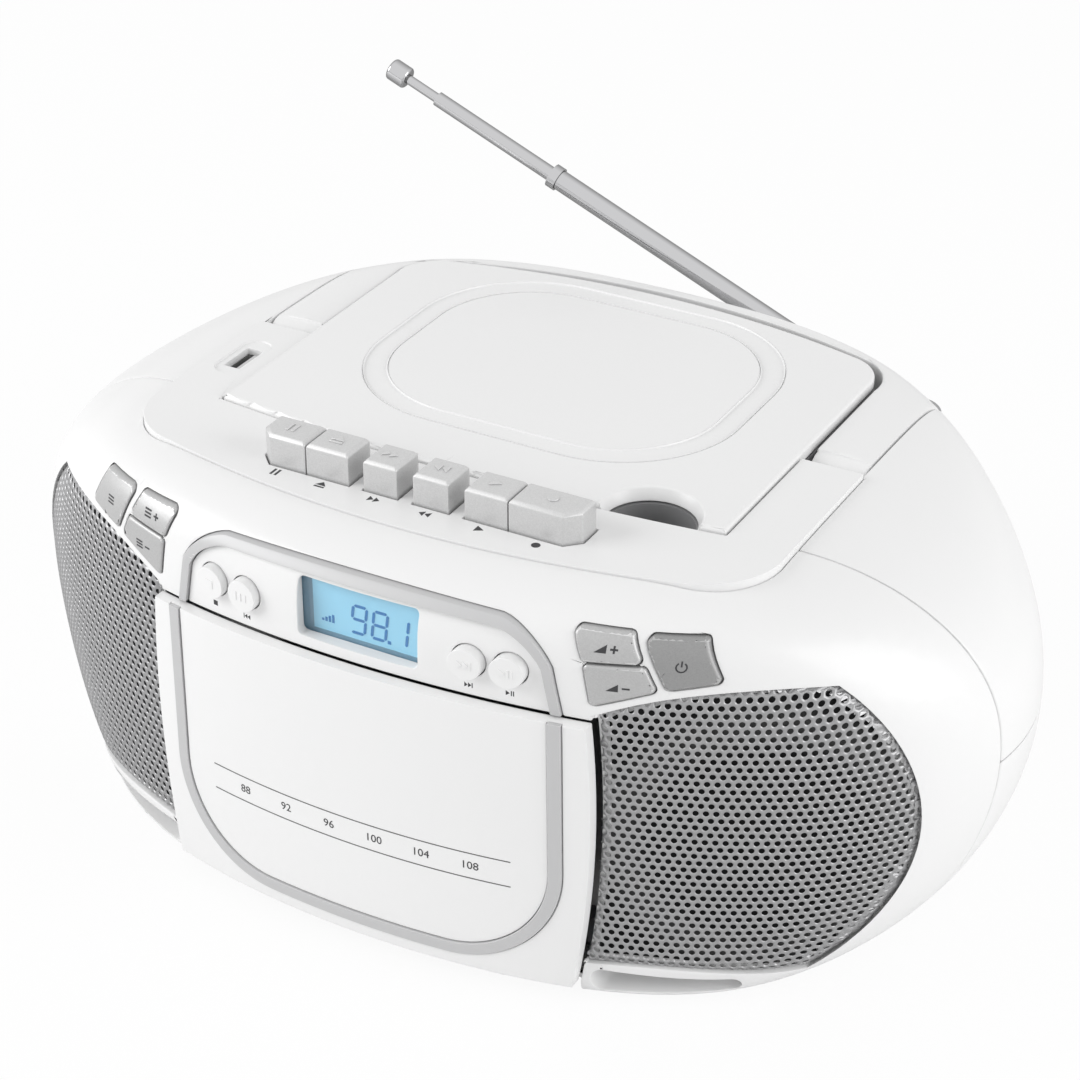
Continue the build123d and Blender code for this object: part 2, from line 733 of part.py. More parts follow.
# Mains inlet with two pins in its well
with BuildPart() as ac_inlet:
    with BuildSketch(Plane.XZ.offset(-74)):
        with Locations(INLET_AT):
            SlotOverall(INLET_HOLE[0] + 4, INLET_HOLE[1] + 4)
    extrude(amount=-5)
    with BuildSketch(Plane.XZ.offset(-79)):
        with Locations(INLET_AT):
            SlotOverall(INLET_HOLE[0] - 0.2, INLET_HOLE[1] - 0.2)
    extrude(amount=-20)
    add(outer_form, mode=Mode.INTERSECT)
    with BuildSketch(Plane.XZ.offset(-77)):
        with Locations(INLET_AT):
            SlotOverall(16.5, 8)
        with Locations((INLET_AT[0] - 4.2, INLET_AT[1]), (INLET_AT[0] + 4.2, INLET_AT[1])):
            Circle(1.2, mode=Mode.SUBTRACT)
    extrude(amount=-30, mode=Mode.SUBTRACT)
write(ac_inlet.part, "ac_inlet")

# Audio socket
with BuildPart() as audio_jack:
    with BuildSketch(Plane.XZ.offset(-BACK_CUT_FROM)):
        with Locations(JACK_AT):
            Circle(JACK_R)
    extrude(amount=-30)
    add(outer_form, mode=Mode.INTERSECT)
    with BuildSketch(Plane.XZ.offset(-BACK_CUT_FROM - 4)):
        with Locations(JACK_AT):
            Circle(1.8)
    extrude(amount=-30, mode=Mode.SUBTRACT)
write(audio_jack.part, "audio_jack")

# Deck plate with openings for the lid, the keys and the data socket
with BuildPart() as deck_panel:
    with BuildSketch(Plane.XY.offset(DECK_TOP - DECK_THICK)):
        add(deck_face())
        add(lid_face(LID_GAP), mode=Mode.SUBTRACT)
        for name in KEYS:
            add(key_face(name, KEY_CLEAR), mode=Mode.SUBTRACT)
        with Locations(DATA_AT):
            Rectangle(*DATA_HOLE, mode=Mode.SUBTRACT)
    extrude(amount=DECK_THICK)
    with BuildSketch(Plane.XY.offset(DECK_TOP - 0.6)):
        with Locations(DATA_AT):
            SlotOverall(23, 9.5, rotation=90)
    extrude(amount=0.6, mode=Mode.SUBTRACT)
write(deck_panel.part, "deck_panel")

# Data socket below the left strip: a can with a tongue inside
with BuildPart() as data_socket:
    with BuildSketch(Plane.XY.offset(DECK_TOP - DECK_THICK - 12)):
        with Locations(DATA_AT):
            Rectangle(DATA_HOLE[0] + 1.4, DATA_HOLE[1] + 1.4)
    extrude(amount=12)
    with BuildSketch(Plane.XY.offset(DECK_TOP - DECK_THICK - 10)):
        with Locations(DATA_AT):
            Rectangle(*DATA_HOLE)
    extrude(amount=10, mode=Mode.SUBTRACT)
    with BuildSketch(Plane.XY.offset(DECK_TOP - DECK_THICK - 10)):
        with Locations((DATA_AT[0] + 1.2, DATA_AT[1])):
            Rectangle(1.8, DATA_HOLE[1] - 1.6)
    extrude(amount=11)
write(data_socket.part, "data_socket")

# Piano keys
for name in KEYS:
    with BuildPart() as key:
        with BuildSketch(Plane.XY.offset(KEY_FOOT)):
            add(key_face(name, 0.0))
        extrude(amount=KEY_TOP - KEY_FOOT)
        chamfer(key.faces().sort_by(Axis.Z)[-1].edges(), KEY_EDGE)
    write(key.part, name)

# Handle, with eyes at the ends of its arms
with BuildPart() as handle:
    with BuildSketch(Plane.XY.offset(HANDLE_FLOOR - SHELF_THICK)):
        with Locations((0, STRIP_END_Y + 50)):
            Rectangle(2 * ARM_OUTER, 100)
        add(grip_hollow(), mode=Mode.SUBTRACT)
    extrude(amount=30)
    add(outer_form, mode=Mode.INTERSECT)
    with BuildSketch(Plane.YZ.offset(-120)):
        with Locations((HANDLE_PIVOT[0] + 50, HANDLE_FLOOR + HANDLE_GAP + 10)):
            Rectangle(100, 20)
        with Locations(HANDLE_PIVOT):
            Circle(ARM_END_R)
            Circle(PIN_R + RUN_CLEAR, mode=Mode.SUBTRACT)
    extrude(amount=240, mode=Mode.INTERSECT)
write(handle.part, "handle")

with BuildPart() as handle_pins:
    for side in (-1, 1):
        with BuildSketch(Plane.YZ.offset(side * (LID_HALF - 2))):
            with Locations(HANDLE_PIVOT):
                Circle(PIN_R)
        extrude(amount=side * (CHEEK_X + CHEEK_THICK - LID_HALF + 2))
write(handle_pins.part, "handle_pins")

# Disc lid with a finger notch, a shallow ring and two hinge lugs
with BuildPart() as cd_lid:
    with BuildSketch(Plane.XY.offset(LID_TOP - LID_THICK)):
        add(lid_face(0.0))
    extrude(amount=LID_THICK)
    fillet(cd_lid.faces().sort_by(Axis.Z)[-1].edges(), 1.2)
    with BuildSketch(Plane((NOTCH[0], NOTCH[1], LID_TOP), z_dir=(0, 0, -1))):
        Circle(NOTCH_RIM_R)
    extrude(amount=LID_THICK, taper=25, mode=Mode.SUBTRACT)
    with BuildSketch(Plane.XY.offset(LID_TOP - 0.5)):
        with Locations((0, 33.7)):
            RectangleRounded(120, 100, 38)
            RectangleRounded(106, 86, 32, mode=Mode.SUBTRACT)
    extrude(amount=0.5, mode=Mode.SUBTRACT)
    for side in (-1, 1):
        with BuildSketch(Plane.YZ.offset(side * LID_LUG_X)):
            with Locations((LID_HINGE[0], LID_HINGE[1] + 2)):
                Rectangle(6, 4)
            with Locations(LID_HINGE):
                Circle(3)
        extrude(amount=side * 4.5)
        with BuildSketch(Plane.YZ.offset(side * LID_LUG_X)):
            with Locations(LID_HINGE):
                Circle(LID_PIN_R)
        extrude(amount=side * 10)
write(cd_lid.part, "cd_lid")

with BuildPart() as disc_clamp:
    with BuildSketch(Plane.XY.offset(LID_TOP - LID_THICK)):
        with Locations((0, DISC_Y)):
            Circle(17)
    extrude(amount=-3)
    with BuildSketch(Plane.XY.offset(LID_TOP - LID_THICK - 3)):
        with Locations((0, DISC_Y)):
            Circle(13)
            Circle(8.5, mode=Mode.SUBTRACT)
    extrude(amount=-3.4)
write(disc_clamp.part, "disc_clamp")

# Disc well: round pocket, trough for the hinge side of the lid, scoop below the finger notch
with BuildPart() as cd_well:
    with BuildSketch(Plane.XY.offset(TRAY_BOTTOM)):
        add(lid_face(TRAY_GAP))
    extrude(amount=TRAY_TOP - TRAY_BOTTOM)
    with BuildSketch(Plane.XY.offset(TRAY_BOTTOM - 1)):
        add(lid_face(-TRAY_SKIN))
        with Locations((0, DISC_Y)):
            Circle(WELL_R + TRAY_SKIN, mode=Mode.SUBTRACT)
        with Locations(NOTCH):
            Circle(NOTCH_R + TRAY_SKIN, mode=Mode.SUBTRACT)
        with Locations((0, 87)):
            Rectangle(200, 34, mode=Mode.SUBTRACT)
    extrude(amount=TRAY_TOP - TRAY_SKIN - TRAY_BOTTOM, mode=Mode.SUBTRACT)
    with BuildSketch(Plane.XY.offset(WELL_FLOOR)):
        with Locations((0, DISC_Y)):
            Circle(WELL_R)
        with Locations(NOTCH):
            Circle(NOTCH_R)
        with Locations((0, 92)):
            Rectangle(2 * (LID_LUG_X + 5), 40)
    extrude(amount=20, mode=Mode.SUBTRACT)
    with BuildSketch(Plane.XY.offset(WELL_FLOOR + 4)):
        with Locations((0, 92)):
            Rectangle(200, 40)
    extrude(amount=20, mode=Mode.SUBTRACT)
    with BuildSketch(Plane.XY.offset(TRAY_BOTTOM - 1)):
        with Locations((0, DISC_Y)):
            Circle(TABLE_R + 1.5)
        with Locations((0, -11)):
            Rectangle(SLED_X + 8, 44)
    extrude(amount=6, mode=Mode.SUBTRACT)
    for side in (-1, 1):
        with BuildSketch(Plane.YZ.offset(side * (LID_LUG_X + 5))):
            with Locations((LID_HINGE[0], LID_HINGE[1] - 3)):
                Rectangle(6, 6)
            with Locations(LID_HINGE):
                Circle(3)
                Circle(LID_PIN_R + RUN_CLEAR, mode=Mode.SUBTRACT)
        extrude(amount=side * 5)
    with BuildSketch(Plane.YZ.offset(-120)):
        with Locations(HANDLE_PIVOT):
            Circle(PIN_R + RUN_CLEAR)
    extrude(amount=240, mode=Mode.SUBTRACT)
write(cd_well.part, "cd_well")

# Disc drive below the well
with BuildPart() as cd_mechanism:
    with BuildSketch(Plane.XY.offset(103)):
        with Locations((0, 6)):
            RectangleRounded(70, 88, 4)
    extrude(amount=3)
    with BuildSketch(Plane.XY.offset(106)):
        with Locations((-30, -33), (30, -33), (-30, 45), (30, 45)):
            Circle(3)
    extrude(amount=TRAY_BOTTOM - 106)
    with BuildSketch(Plane.XY.offset(92)):
        with Locations((0, DISC_Y)):
            Circle(11)
    extrude(amount=11)
    with BuildSketch(Plane.XY.offset(98)):
        with Locations((0, DISC_Y)):
            Circle(SPINDLE_R + RUN_CLEAR)
    extrude(amount=10, mode=Mode.SUBTRACT)
write(cd_mechanism.part, "cd_mechanism")

with BuildPart() as turntable:
    with BuildSketch(Plane.XY.offset(TABLE_TOP - 2.7)):
        with Locations((0, DISC_Y)):
            Circle(TABLE_R)
    extrude(amount=2.7)
    with BuildSketch(Plane.XY.offset(TABLE_TOP)):
        with Locations((0, DISC_Y)):
            Circle(7.3)
    extrude(amount=1.5, taper=25)
    with BuildSketch(Plane.XY.offset(99)):
        with Locations((0, DISC_Y)):
            Circle(SPINDLE_R)
    extrude(amount=15)
write(turntable.part, "turntable")

with BuildPart() as pickup_sled:
    with BuildSketch(Plane.XY.offset(106.4)):
        with Locations((0, (SLED_Y[0] + SLED_Y[1]) / 2)):
            Rectangle(SLED_X, SLED_Y[1] - SLED_Y[0])
    extrude(amount=7)
    with BuildSketch(Plane.XY.offset(113.4)):
        with Locations((0, (SLED_Y[0] + SLED_Y[1]) / 2)):
            Circle(3.5)
    extrude(amount=1.6)
write(pickup_sled.part, "pickup_sled")

# Display panel above the cassette door
with BuildPart() as panel_sheet:
    with BuildSketch(Plane.XZ):
        add(arch_face(-ARCH_WIDTH - TRIM_GAP))
        add(door_face(DOOR_GAP), mode=Mode.SUBTRACT)
    extrude(amount=FRONT_REACH)
    add(panel_front, mode=Mode.INTERSECT)
    add(inner_form, mode=Mode.SUBTRACT)

with BuildPart() as display_panel:
    with BuildSketch(Plane.XZ.offset(-WINDOW_Y - WINDOW_THICK)):
        with Locations(WINDOW_AT):
            Rectangle(WINDOW[0] + 7, WINDOW[1] + 4)
    extrude(amount=20)
    with BuildSketch(Plane.XZ):
        add(arch_face(-ARCH_WIDTH - TRIM_GAP))
    extrude(amount=FRONT_REACH, mode=Mode.INTERSECT)
    add(panel_front, mode=Mode.INTERSECT)
    add(panel_sheet.part)
    with BuildSketch(Plane.XZ):
        with Locations(WINDOW_AT):
            RectangleRounded(*WINDOW, WINDOW_ROUND)
        for place in ROUND_XS.values():
            with Locations((place, ROUND_Z)):
                Circle(ROUND_R + ROUND_GAP)
    extrude(amount=FRONT_REACH, mode=Mode.SUBTRACT)
    with BuildSketch(Plane.XZ.offset(-WINDOW_Y - WINDOW_THICK - 10)):
        with Locations(WINDOW_AT):
            Rectangle(WINDOW[0] + 2, WINDOW[1] + 2)
    extrude(amount=10 + WINDOW_THICK, mode=Mode.SUBTRACT)
    with BuildSketch(Plane.XZ.offset(-WINDOW_Y - WINDOW_THICK - 10)):
        with Locations(WINDOW_AT):
            Rectangle(WINDOW[0] + 9.4, WINDOW[1] + 1.4)
    extrude(amount=10, mode=Mode.SUBTRACT)
write(display_panel.part, "display_panel")

with BuildPart() as lcd_window:
    with BuildSketch(Plane.XZ.offset(-WINDOW_Y - WINDOW_THICK)):
        with Locations(WINDOW_AT):
            Rectangle(WINDOW[0] + 1.8, WINDOW[1] + 1.8)
    extrude(amount=WINDOW_THICK)
write(lcd_window.part, "lcd_window")

with BuildPart() as lcd_module:
    with BuildSketch(Plane.XZ.offset(-WINDOW_Y - WINDOW_THICK - 6)):
        with Locations(WINDOW_AT):
            Rectangle(WINDOW[0] + 9, WINDOW[1] + 1)
    extrude(amount=6)
write(lcd_module.part, "lcd_module")

# Band around the display
with BuildPart() as arch_trim:
    with BuildSketch(Plane.XZ.offset(ARCH_BACK)):
        add(arch_face(0.0))
        add(arch_face(-ARCH_WIDTH), mode=Mode.SUBTRACT)
        add(door_face(DOOR_GAP), mode=Mode.SUBTRACT)
    extrude(amount=FRONT_REACH)
    add(arch_front, mode=Mode.INTERSECT)
    add(inner_form, mode=Mode.SUBTRACT)
write(arch_trim.part, "arch_trim")

# Round buttons beside the display
for name, place in ROUND_XS.items():
    with BuildPart() as button:
        with BuildSketch(Plane.XZ.offset(ROUND_BACK)):
            with Locations((place, ROUND_Z)):
                Circle(ROUND_R)
        extrude(amount=30)
        add(round_front, mode=Mode.INTERSECT)
    write(button.part, name)

# Shaped buttons on the brow
for (side, place), name in BROW_NAMES.items():
    with BuildPart() as button:
        with BuildSketch(Plane.XZ.offset(BROW_BACK[place])):
            add(brow_face(side, place, 0.0))
        extrude(amount=40)
        add(button_front, mode=Mode.INTERSECT)
    write(button.part, name)

# Cassette door, with ribs for the holder and hinge pins at its foot
with BuildPart() as door_sheet:
    with BuildSketch(Plane.XZ):
        add(door_face(0.0))
    extrude(amount=FRONT_REACH)
    add(door_front, mode=Mode.INTERSECT)
    add(panel_front, mode=Mode.SUBTRACT)

with BuildPart() as band_groove:
    with BuildSketch(Plane.XZ):
        add(band_face(TRIM_GAP))
    extrude(amount=FRONT_REACH)
    add(band_seat, mode=Mode.SUBTRACT)

with BuildPart() as cassette_door:
    with BuildSketch(Plane.XZ.offset(HOLDER_FRONT)):
        with Locations((-32, 48), (32, 48)):
            Rectangle(4, 56)
    extrude(amount=20)
    for side in (-1, 1):
        with BuildSketch(Plane.YZ.offset(side * (BRACKET_X - 6))):
            with Locations((DOOR_AXIS[0] - 8, DOOR_AXIS[1])):
                Rectangle(16, 6)
            with Locations(DOOR_AXIS):
                Circle(3)
        extrude(amount=side * 4.5)
    add(door_front, mode=Mode.INTERSECT)
    for side in (-1, 1):
        with BuildSketch(Plane.YZ.offset(side * (BRACKET_X - 6))):
            with Locations(DOOR_AXIS):
                Circle(DOOR_PIN_R)
        extrude(amount=side * (BRACKET_WIDE + 7))
    add(door_sheet.part)
    add(band_groove.part, mode=Mode.SUBTRACT)
write(cassette_door.part, "cassette_door")

with BuildPart() as door_trim:
    with BuildSketch(Plane.XZ):
        add(band_face(0.0))
    extrude(amount=FRONT_REACH)
    with BuildSketch(Plane.XZ):
        add(door_face(0.0))
    extrude(amount=FRONT_REACH, mode=Mode.INTERSECT)
    add(band_front, mode=Mode.INTERSECT)
    add(band_seat, mode=Mode.SUBTRACT)
write(door_trim.part, "door_trim")

# Holder that the cassette slides into, open at the top and at the back
with BuildPart() as cassette_holder:
    with BuildSketch(Plane.XZ.offset(HOLDER_FRONT - HOLDER[1])):
        with Locations((0, 48)):
            Rectangle(HOLDER[0], HOLDER[2])
    extrude(amount=HOLDER[1])
    with BuildSketch(Plane.XZ.offset(HOLDER_FRONT - HOLDER[1])):
        with Locations((0, 48 + HOLDER_WALL)):
            Rectangle(HOLDER[0] - 2 * HOLDER_WALL, HOLDER[2])
    extrude(amount=HOLDER[1] - HOLDER_WALL, mode=Mode.SUBTRACT)
write(cassette_holder.part, "cassette_holder")

# Cassette drive behind the door
with BuildPart() as cassette_chassis:
    with BuildSketch(Plane.XZ.offset(-CHASSIS_Y - 2)):
        with Locations((0, 54)):
            Rectangle(2 * (RIB_X + RIB_THICK), 80)
        with Locations((-HUB_X, HUB_Z), (HUB_X, HUB_Z)):
            Circle(2 + RUN_CLEAR, mode=Mode.SUBTRACT)
        with Locations(CAPSTAN):
            Circle(CAPSTAN_R + RUN_CLEAR, mode=Mode.SUBTRACT)
    extrude(amount=2)
write(cassette_chassis.part, "cassette_chassis")

for name, place in (("take_up_hub", HUB_X), ("supply_hub", -HUB_X)):
    with BuildPart() as hub:
        with BuildSketch(Plane.XZ.offset(58)):
            with Locations((place, HUB_Z)):
                Circle(2)
        extrude(amount=6)
        with BuildSketch(Plane.XZ.offset(63)):
            with Locations((place, HUB_Z)):
                Circle(5.5)
        extrude(amount=2)
        with BuildSketch(Plane.XZ.offset(65)):
            with Locations((place, HUB_Z)):
                Circle(3.6)
                with PolarLocations(3.6, 3):
                    Rectangle(2.4, 1.2)
        extrude(amount=9)
    write(hub.part, name)

with BuildPart() as flywheel:
    with BuildSketch(Plane.XZ.offset(53)):
        with Locations(CAPSTAN):
            Circle(FLYWHEEL_R)
    extrude(amount=5.5)
    with BuildSketch(Plane.XZ.offset(58)):
        with Locations(CAPSTAN):
            Circle(CAPSTAN_R)
    extrude(amount=18)
write(flywheel.part, "flywheel")

with BuildPart() as cassette_motor:
    with BuildSketch(Plane.XZ.offset(26)):
        with Locations(MOTOR_AT):
            Circle(15)
    extrude(amount=24)
    with BuildSketch(Plane.XZ.offset(50)):
        with Locations((MOTOR_AT[0] - 11, MOTOR_AT[1]), (MOTOR_AT[0], MOTOR_AT[1] - 11)):
            Circle(2)
    extrude(amount=-CHASSIS_Y - 52)
    with BuildSketch(Plane.XZ.offset(40)):
        with Locations(MOTOR_AT):
            Circle(SPINDLE_R + RUN_CLEAR)
    extrude(amount=12, mode=Mode.SUBTRACT)
write(cassette_motor.part, "cassette_motor")

with BuildPart() as motor_pulley:
    with BuildSketch(Plane.XZ.offset(53)):
        with Locations(MOTOR_AT):
            Circle(PULLEY_R)
    extrude(amount=5)
    with BuildSketch(Plane.XZ.offset(42)):
        with Locations(MOTOR_AT):
            Circle(SPINDLE_R)
    extrude(amount=12)
write(motor_pulley.part, "motor_pulley")

with BuildPart() as drive_belt:
    with BuildSketch(Plane.XZ.offset(BELT_Y)):
        add(belt_face(0.3 + BELT_THICK))
        add(belt_face(0.3), mode=Mode.SUBTRACT)
    extrude(amount=BELT_WIDE)
write(drive_belt.part, "drive_belt")

with BuildPart() as tape_head:
    with BuildSketch(Plane.XZ.offset(-CHASSIS_Y)):
        with Locations((0, 89)):
            Rectangle(26, 8)
    extrude(amount=3)
    with BuildSketch(Plane.XZ.offset(-CHASSIS_Y + 3)):
        with Locations((0, 89)):
            RectangleRounded(14, 9, 2)
    extrude(amount=10)
write(tape_head.part, "tape_head")

# Main board on its posts, with some of its larger parts
with BuildPart() as main_board:
    with BuildSketch(Plane.XY.offset(BOARD_Z)):
        with Locations((0, 25)):
            Rectangle(170, 104)
    extrude(amount=1.6)
    with BuildSketch(Plane.XY.offset(BOARD_Z + 1.6)):
        with Locations((-50, 5), (40, 55)):
            Rectangle(18, 18)
    extrude(amount=2)
    with BuildSketch(Plane.XY.offset(BOARD_Z + 1.6)):
        with Locations((55, 0), (68, 0), (-60, 50), (-45, 50)):
            Circle(5)
    extrude(amount=11)
write(main_board.part, "main_board")

with BuildPart() as transformer:
    with BuildSketch(Plane.XY.offset(BODY_BOTTOM + WALL)):
        with Locations((-76, 42)):
            Rectangle(32, 28)
    extrude(amount=30)
    with BuildSketch(Plane.XY.offset(BODY_BOTTOM + WALL + 4)):
        with Locations((-76, 42)):
            Rectangle(24, 42)
    extrude(amount=22)
write(transformer.part, "transformer")

# Aerial: swivel, then three tubes that slide into each other
along = (cos(radians(AERIAL_ANGLE)), 0, sin(radians(AERIAL_ANGLE)))
across = (-sin(radians(AERIAL_ANGLE)), 0, cos(radians(AERIAL_ANGLE)))
tube_plane = Plane(origin=AERIAL_PIVOT, z_dir=along, x_dir=(0, 1, 0))
elbow_plane = Plane(origin=AERIAL_PIVOT, z_dir=across, x_dir=along)
with BuildPart() as antenna_swivel:
    with BuildSketch(Plane.XZ.offset(-AERIAL_BOSS_FROM - 2)):
        with Locations((AERIAL_PIVOT[0], AERIAL_PIVOT[2])):
            Circle(SWIVEL_PIN_R)
    extrude(amount=-(SWIVEL_Y - AERIAL_BOSS_FROM - 2))
    with BuildSketch(Plane.XZ.offset(-SWIVEL_Y)):
        with Locations((AERIAL_PIVOT[0], AERIAL_PIVOT[2])):
            Circle(AERIAL_BOSS_R - 1)
    extrude(amount=-2.2)
    for way in (-1, 1):
        with BuildSketch(elbow_plane.offset(way * FORK_INNER)):
            Circle(4)
            with Locations((0, -2)):
                Rectangle(8, 4)
        extrude(amount=way * 2)
    with BuildSketch(elbow_plane.offset(-FORK_INNER)):
        Circle(ELBOW_PIN_R)
    extrude(amount=2 * FORK_INNER)
write(antenna_swivel.part, "antenna_swivel")

with BuildPart() as antenna_base_tube:
    with BuildSketch(tube_plane):
        Circle(TUBE_RADII[0])
    extrude(amount=TUBE_ENDS[0])
    with Locations(AERIAL_PIVOT):
        Sphere(TUBE_RADII[0])
    with BuildSketch(tube_plane.offset(TUBE_ENDS[0] - 3)):
        Circle(TUBE_RADII[0] + 0.6)
    extrude(amount=3)
    with BuildSketch(tube_plane.offset(10)):
        Circle(TUBE_RADII[1] + TUBE_CLEAR)
    extrude(amount=TUBE_ENDS[0], mode=Mode.SUBTRACT)
    with BuildSketch(elbow_plane.offset(-10)):
        Circle(ELBOW_PIN_R + RUN_CLEAR)
    extrude(amount=20, mode=Mode.SUBTRACT)
write(antenna_base_tube.part, "antenna_base_tube")

with BuildPart() as antenna_middle_tube:
    with BuildSketch(tube_plane.offset(TUBE_ENDS[1] - MIDDLE_LENGTH)):
        Circle(TUBE_RADII[1])
        Circle(TUBE_RADII[2] + TUBE_CLEAR, mode=Mode.SUBTRACT)
    extrude(amount=MIDDLE_LENGTH)
write(antenna_middle_tube.part, "antenna_middle_tube")

with BuildPart() as antenna_tip:
    with BuildSketch(tube_plane.offset(TUBE_ENDS[2] - TIP_LENGTH)):
        Circle(TUBE_RADII[2])
    extrude(amount=TIP_LENGTH)
    with BuildSketch(tube_plane.offset(TUBE_ENDS[2] - 1)):
        Circle(KNOB_R)
    extrude(amount=7)
    fillet(antenna_tip.edges().filter_by(GeomType.CIRCLE).sort_by(lambda edge: edge.radius)[-2:], 1.0)
write(antenna_tip.part, "antenna_tip")

# Feet and the screws in the bottom, each group written as one piece
with BuildPart() as rubber_feet:
    with BuildSketch(Plane.XY):
        with Locations((-85, -50), (85, -50), (-75, 70), (75, 70)):
            Circle(7)
    extrude(amount=BODY_BOTTOM)
write(rubber_feet.part, "rubber_feet")

with BuildPart() as screws:
    with BuildSketch(Plane.XY.offset(SCREW_SEAT - 1.8)):
        with Locations(*SCREWS_AT):
            Circle(SCREW_HEAD_R)
    extrude(amount=1.8)
    with BuildSketch(Plane.XY.offset(SCREW_SEAT)):
        with Locations(*SCREWS_AT):
            Circle(SCREW_R)
    extrude(amount=11)
write(screws.part, "screws")
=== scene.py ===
"""Looks of a white portable stereo with a cassette door, a disc lid, a radio and a folding handle.

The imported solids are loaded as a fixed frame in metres. Each class below is one sub-assembly: it
models its visible pieces around those solids, dresses them and lets them ride on the body that
carries them. Sizes are written in millimetres and turned to metres by MM.
"""

import json
import logging
import math
from contextlib import contextmanager
from dataclasses import dataclass, field
from enum import Enum
from typing import Callable, Iterator, Sequence

import bmesh
import bpy
import numpy as np
from mathutils import Matrix, Vector
from mathutils.bvhtree import BVHTree

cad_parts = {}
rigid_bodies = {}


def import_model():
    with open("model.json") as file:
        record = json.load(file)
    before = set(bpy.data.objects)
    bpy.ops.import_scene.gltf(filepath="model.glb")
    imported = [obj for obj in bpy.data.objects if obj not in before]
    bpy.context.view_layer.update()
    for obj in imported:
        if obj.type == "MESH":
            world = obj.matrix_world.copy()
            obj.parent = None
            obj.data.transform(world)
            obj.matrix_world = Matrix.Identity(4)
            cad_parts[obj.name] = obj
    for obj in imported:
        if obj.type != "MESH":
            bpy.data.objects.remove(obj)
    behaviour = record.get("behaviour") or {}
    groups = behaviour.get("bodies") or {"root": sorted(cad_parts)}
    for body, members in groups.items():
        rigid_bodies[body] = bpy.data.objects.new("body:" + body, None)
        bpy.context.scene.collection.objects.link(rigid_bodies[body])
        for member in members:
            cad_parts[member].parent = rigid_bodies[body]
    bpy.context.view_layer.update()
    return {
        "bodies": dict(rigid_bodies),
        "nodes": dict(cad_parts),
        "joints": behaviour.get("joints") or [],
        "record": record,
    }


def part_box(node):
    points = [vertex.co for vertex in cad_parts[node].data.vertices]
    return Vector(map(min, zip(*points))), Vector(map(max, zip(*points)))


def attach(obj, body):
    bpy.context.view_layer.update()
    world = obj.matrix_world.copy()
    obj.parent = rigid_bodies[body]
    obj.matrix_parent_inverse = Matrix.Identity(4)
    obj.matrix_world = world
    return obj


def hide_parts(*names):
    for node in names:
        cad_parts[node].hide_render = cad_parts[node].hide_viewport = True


LOG = logging.getLogger("stereo")
MM = 0.001
FAR = 0.5
PRINT_THICK = 0.04
EDGE_HIGHLIGHT_RADIUS = 0.35 * MM
COAT_ROUGHNESS = 0.12
Colour = tuple[float, float, float]
Point = tuple[float, float]


class Side(Enum):
    """Left or right half of the stereo, seen from the front."""

    LEFT = -1
    RIGHT = 1

    @property
    def word(self) -> str:
        """Returns the side's name as the nodes spell it."""
        return self.name.lower()


class Element(Enum):
    """The kind of mesh element that an edit works on."""

    VERT = "VERT"
    EDGE = "EDGE"
    FACE = "FACE"


class Glyph(Enum):
    """Plain signs that are raised or printed on keys and buttons."""

    PAUSE = "pause"
    EJECT = "eject"
    STOP = "stop"
    FORWARD = "forward"
    BACK = "back"
    PLAY = "play"
    RECORD = "record"
    SKIP_BACK = "skip_back"
    SKIP_ON = "skip_on"
    PLAY_PAUSE = "play_pause"
    POWER = "power"
    LIST = "list"
    LOUDER = "louder"
    SOFTER = "softer"
    NEXT_STORE = "next_store"
    LAST_STORE = "last_store"


class ShaderSketch:
    """Lays out the nodes of one shader tree."""

    def __init__(self, tree: bpy.types.NodeTree) -> None:
        """Starts from an empty tree.

        Args:
            tree: The node tree of a material, a world or a group.
        """
        self.tree = tree
        tree.nodes.clear()

    def node(self, kind: str, inputs: dict | None = None, **settings: object) -> bpy.types.Node:
        """Adds one node and sets or wires its inputs.

        Args:
            kind: Blender's name of the node type.
            inputs: Values or output sockets, by input name or number.
            settings: Properties of the node itself.

        Returns:
            The new node.
        """
        made = self.tree.nodes.new(kind)
        for key, value in settings.items():
            setattr(made, key, value)
        for key, value in (inputs or {}).items():
            if isinstance(value, bpy.types.NodeSocket):
                self.tree.links.new(value, made.inputs[key])
            else:
                made.inputs[key].default_value = value
        return made

    def spread(self, value: bpy.types.NodeSocket, low: float, high: float) -> bpy.types.NodeSocket:
        """Maps a mask from 0..1 to another range.

        Args:
            value: The mask.
            low: What 0 becomes.
            high: What 1 becomes.

        Returns:
            The mapped value.
        """
        return self.node("ShaderNodeMapRange", {"Value": value, "To Min": low, "To Max": high}).outputs[0]

    def blend(self, mask: bpy.types.NodeSocket, first: object, second: object) -> bpy.types.NodeSocket:
        """Mixes two colours by a mask.

        Args:
            mask: Share of the second colour.
            first: Colour or socket at 0.
            second: Colour or socket at 1.

        Returns:
            The mixed colour.
        """
        mix = self.node("ShaderNodeMix", {0: mask}, data_type="RGBA")
        for socket, value in ((mix.inputs[6], first), (mix.inputs[7], second)):
            if isinstance(value, bpy.types.NodeSocket):
                self.tree.links.new(value, socket)
            else:
                socket.default_value = (*value, 1.0)
        return mix.outputs[2]


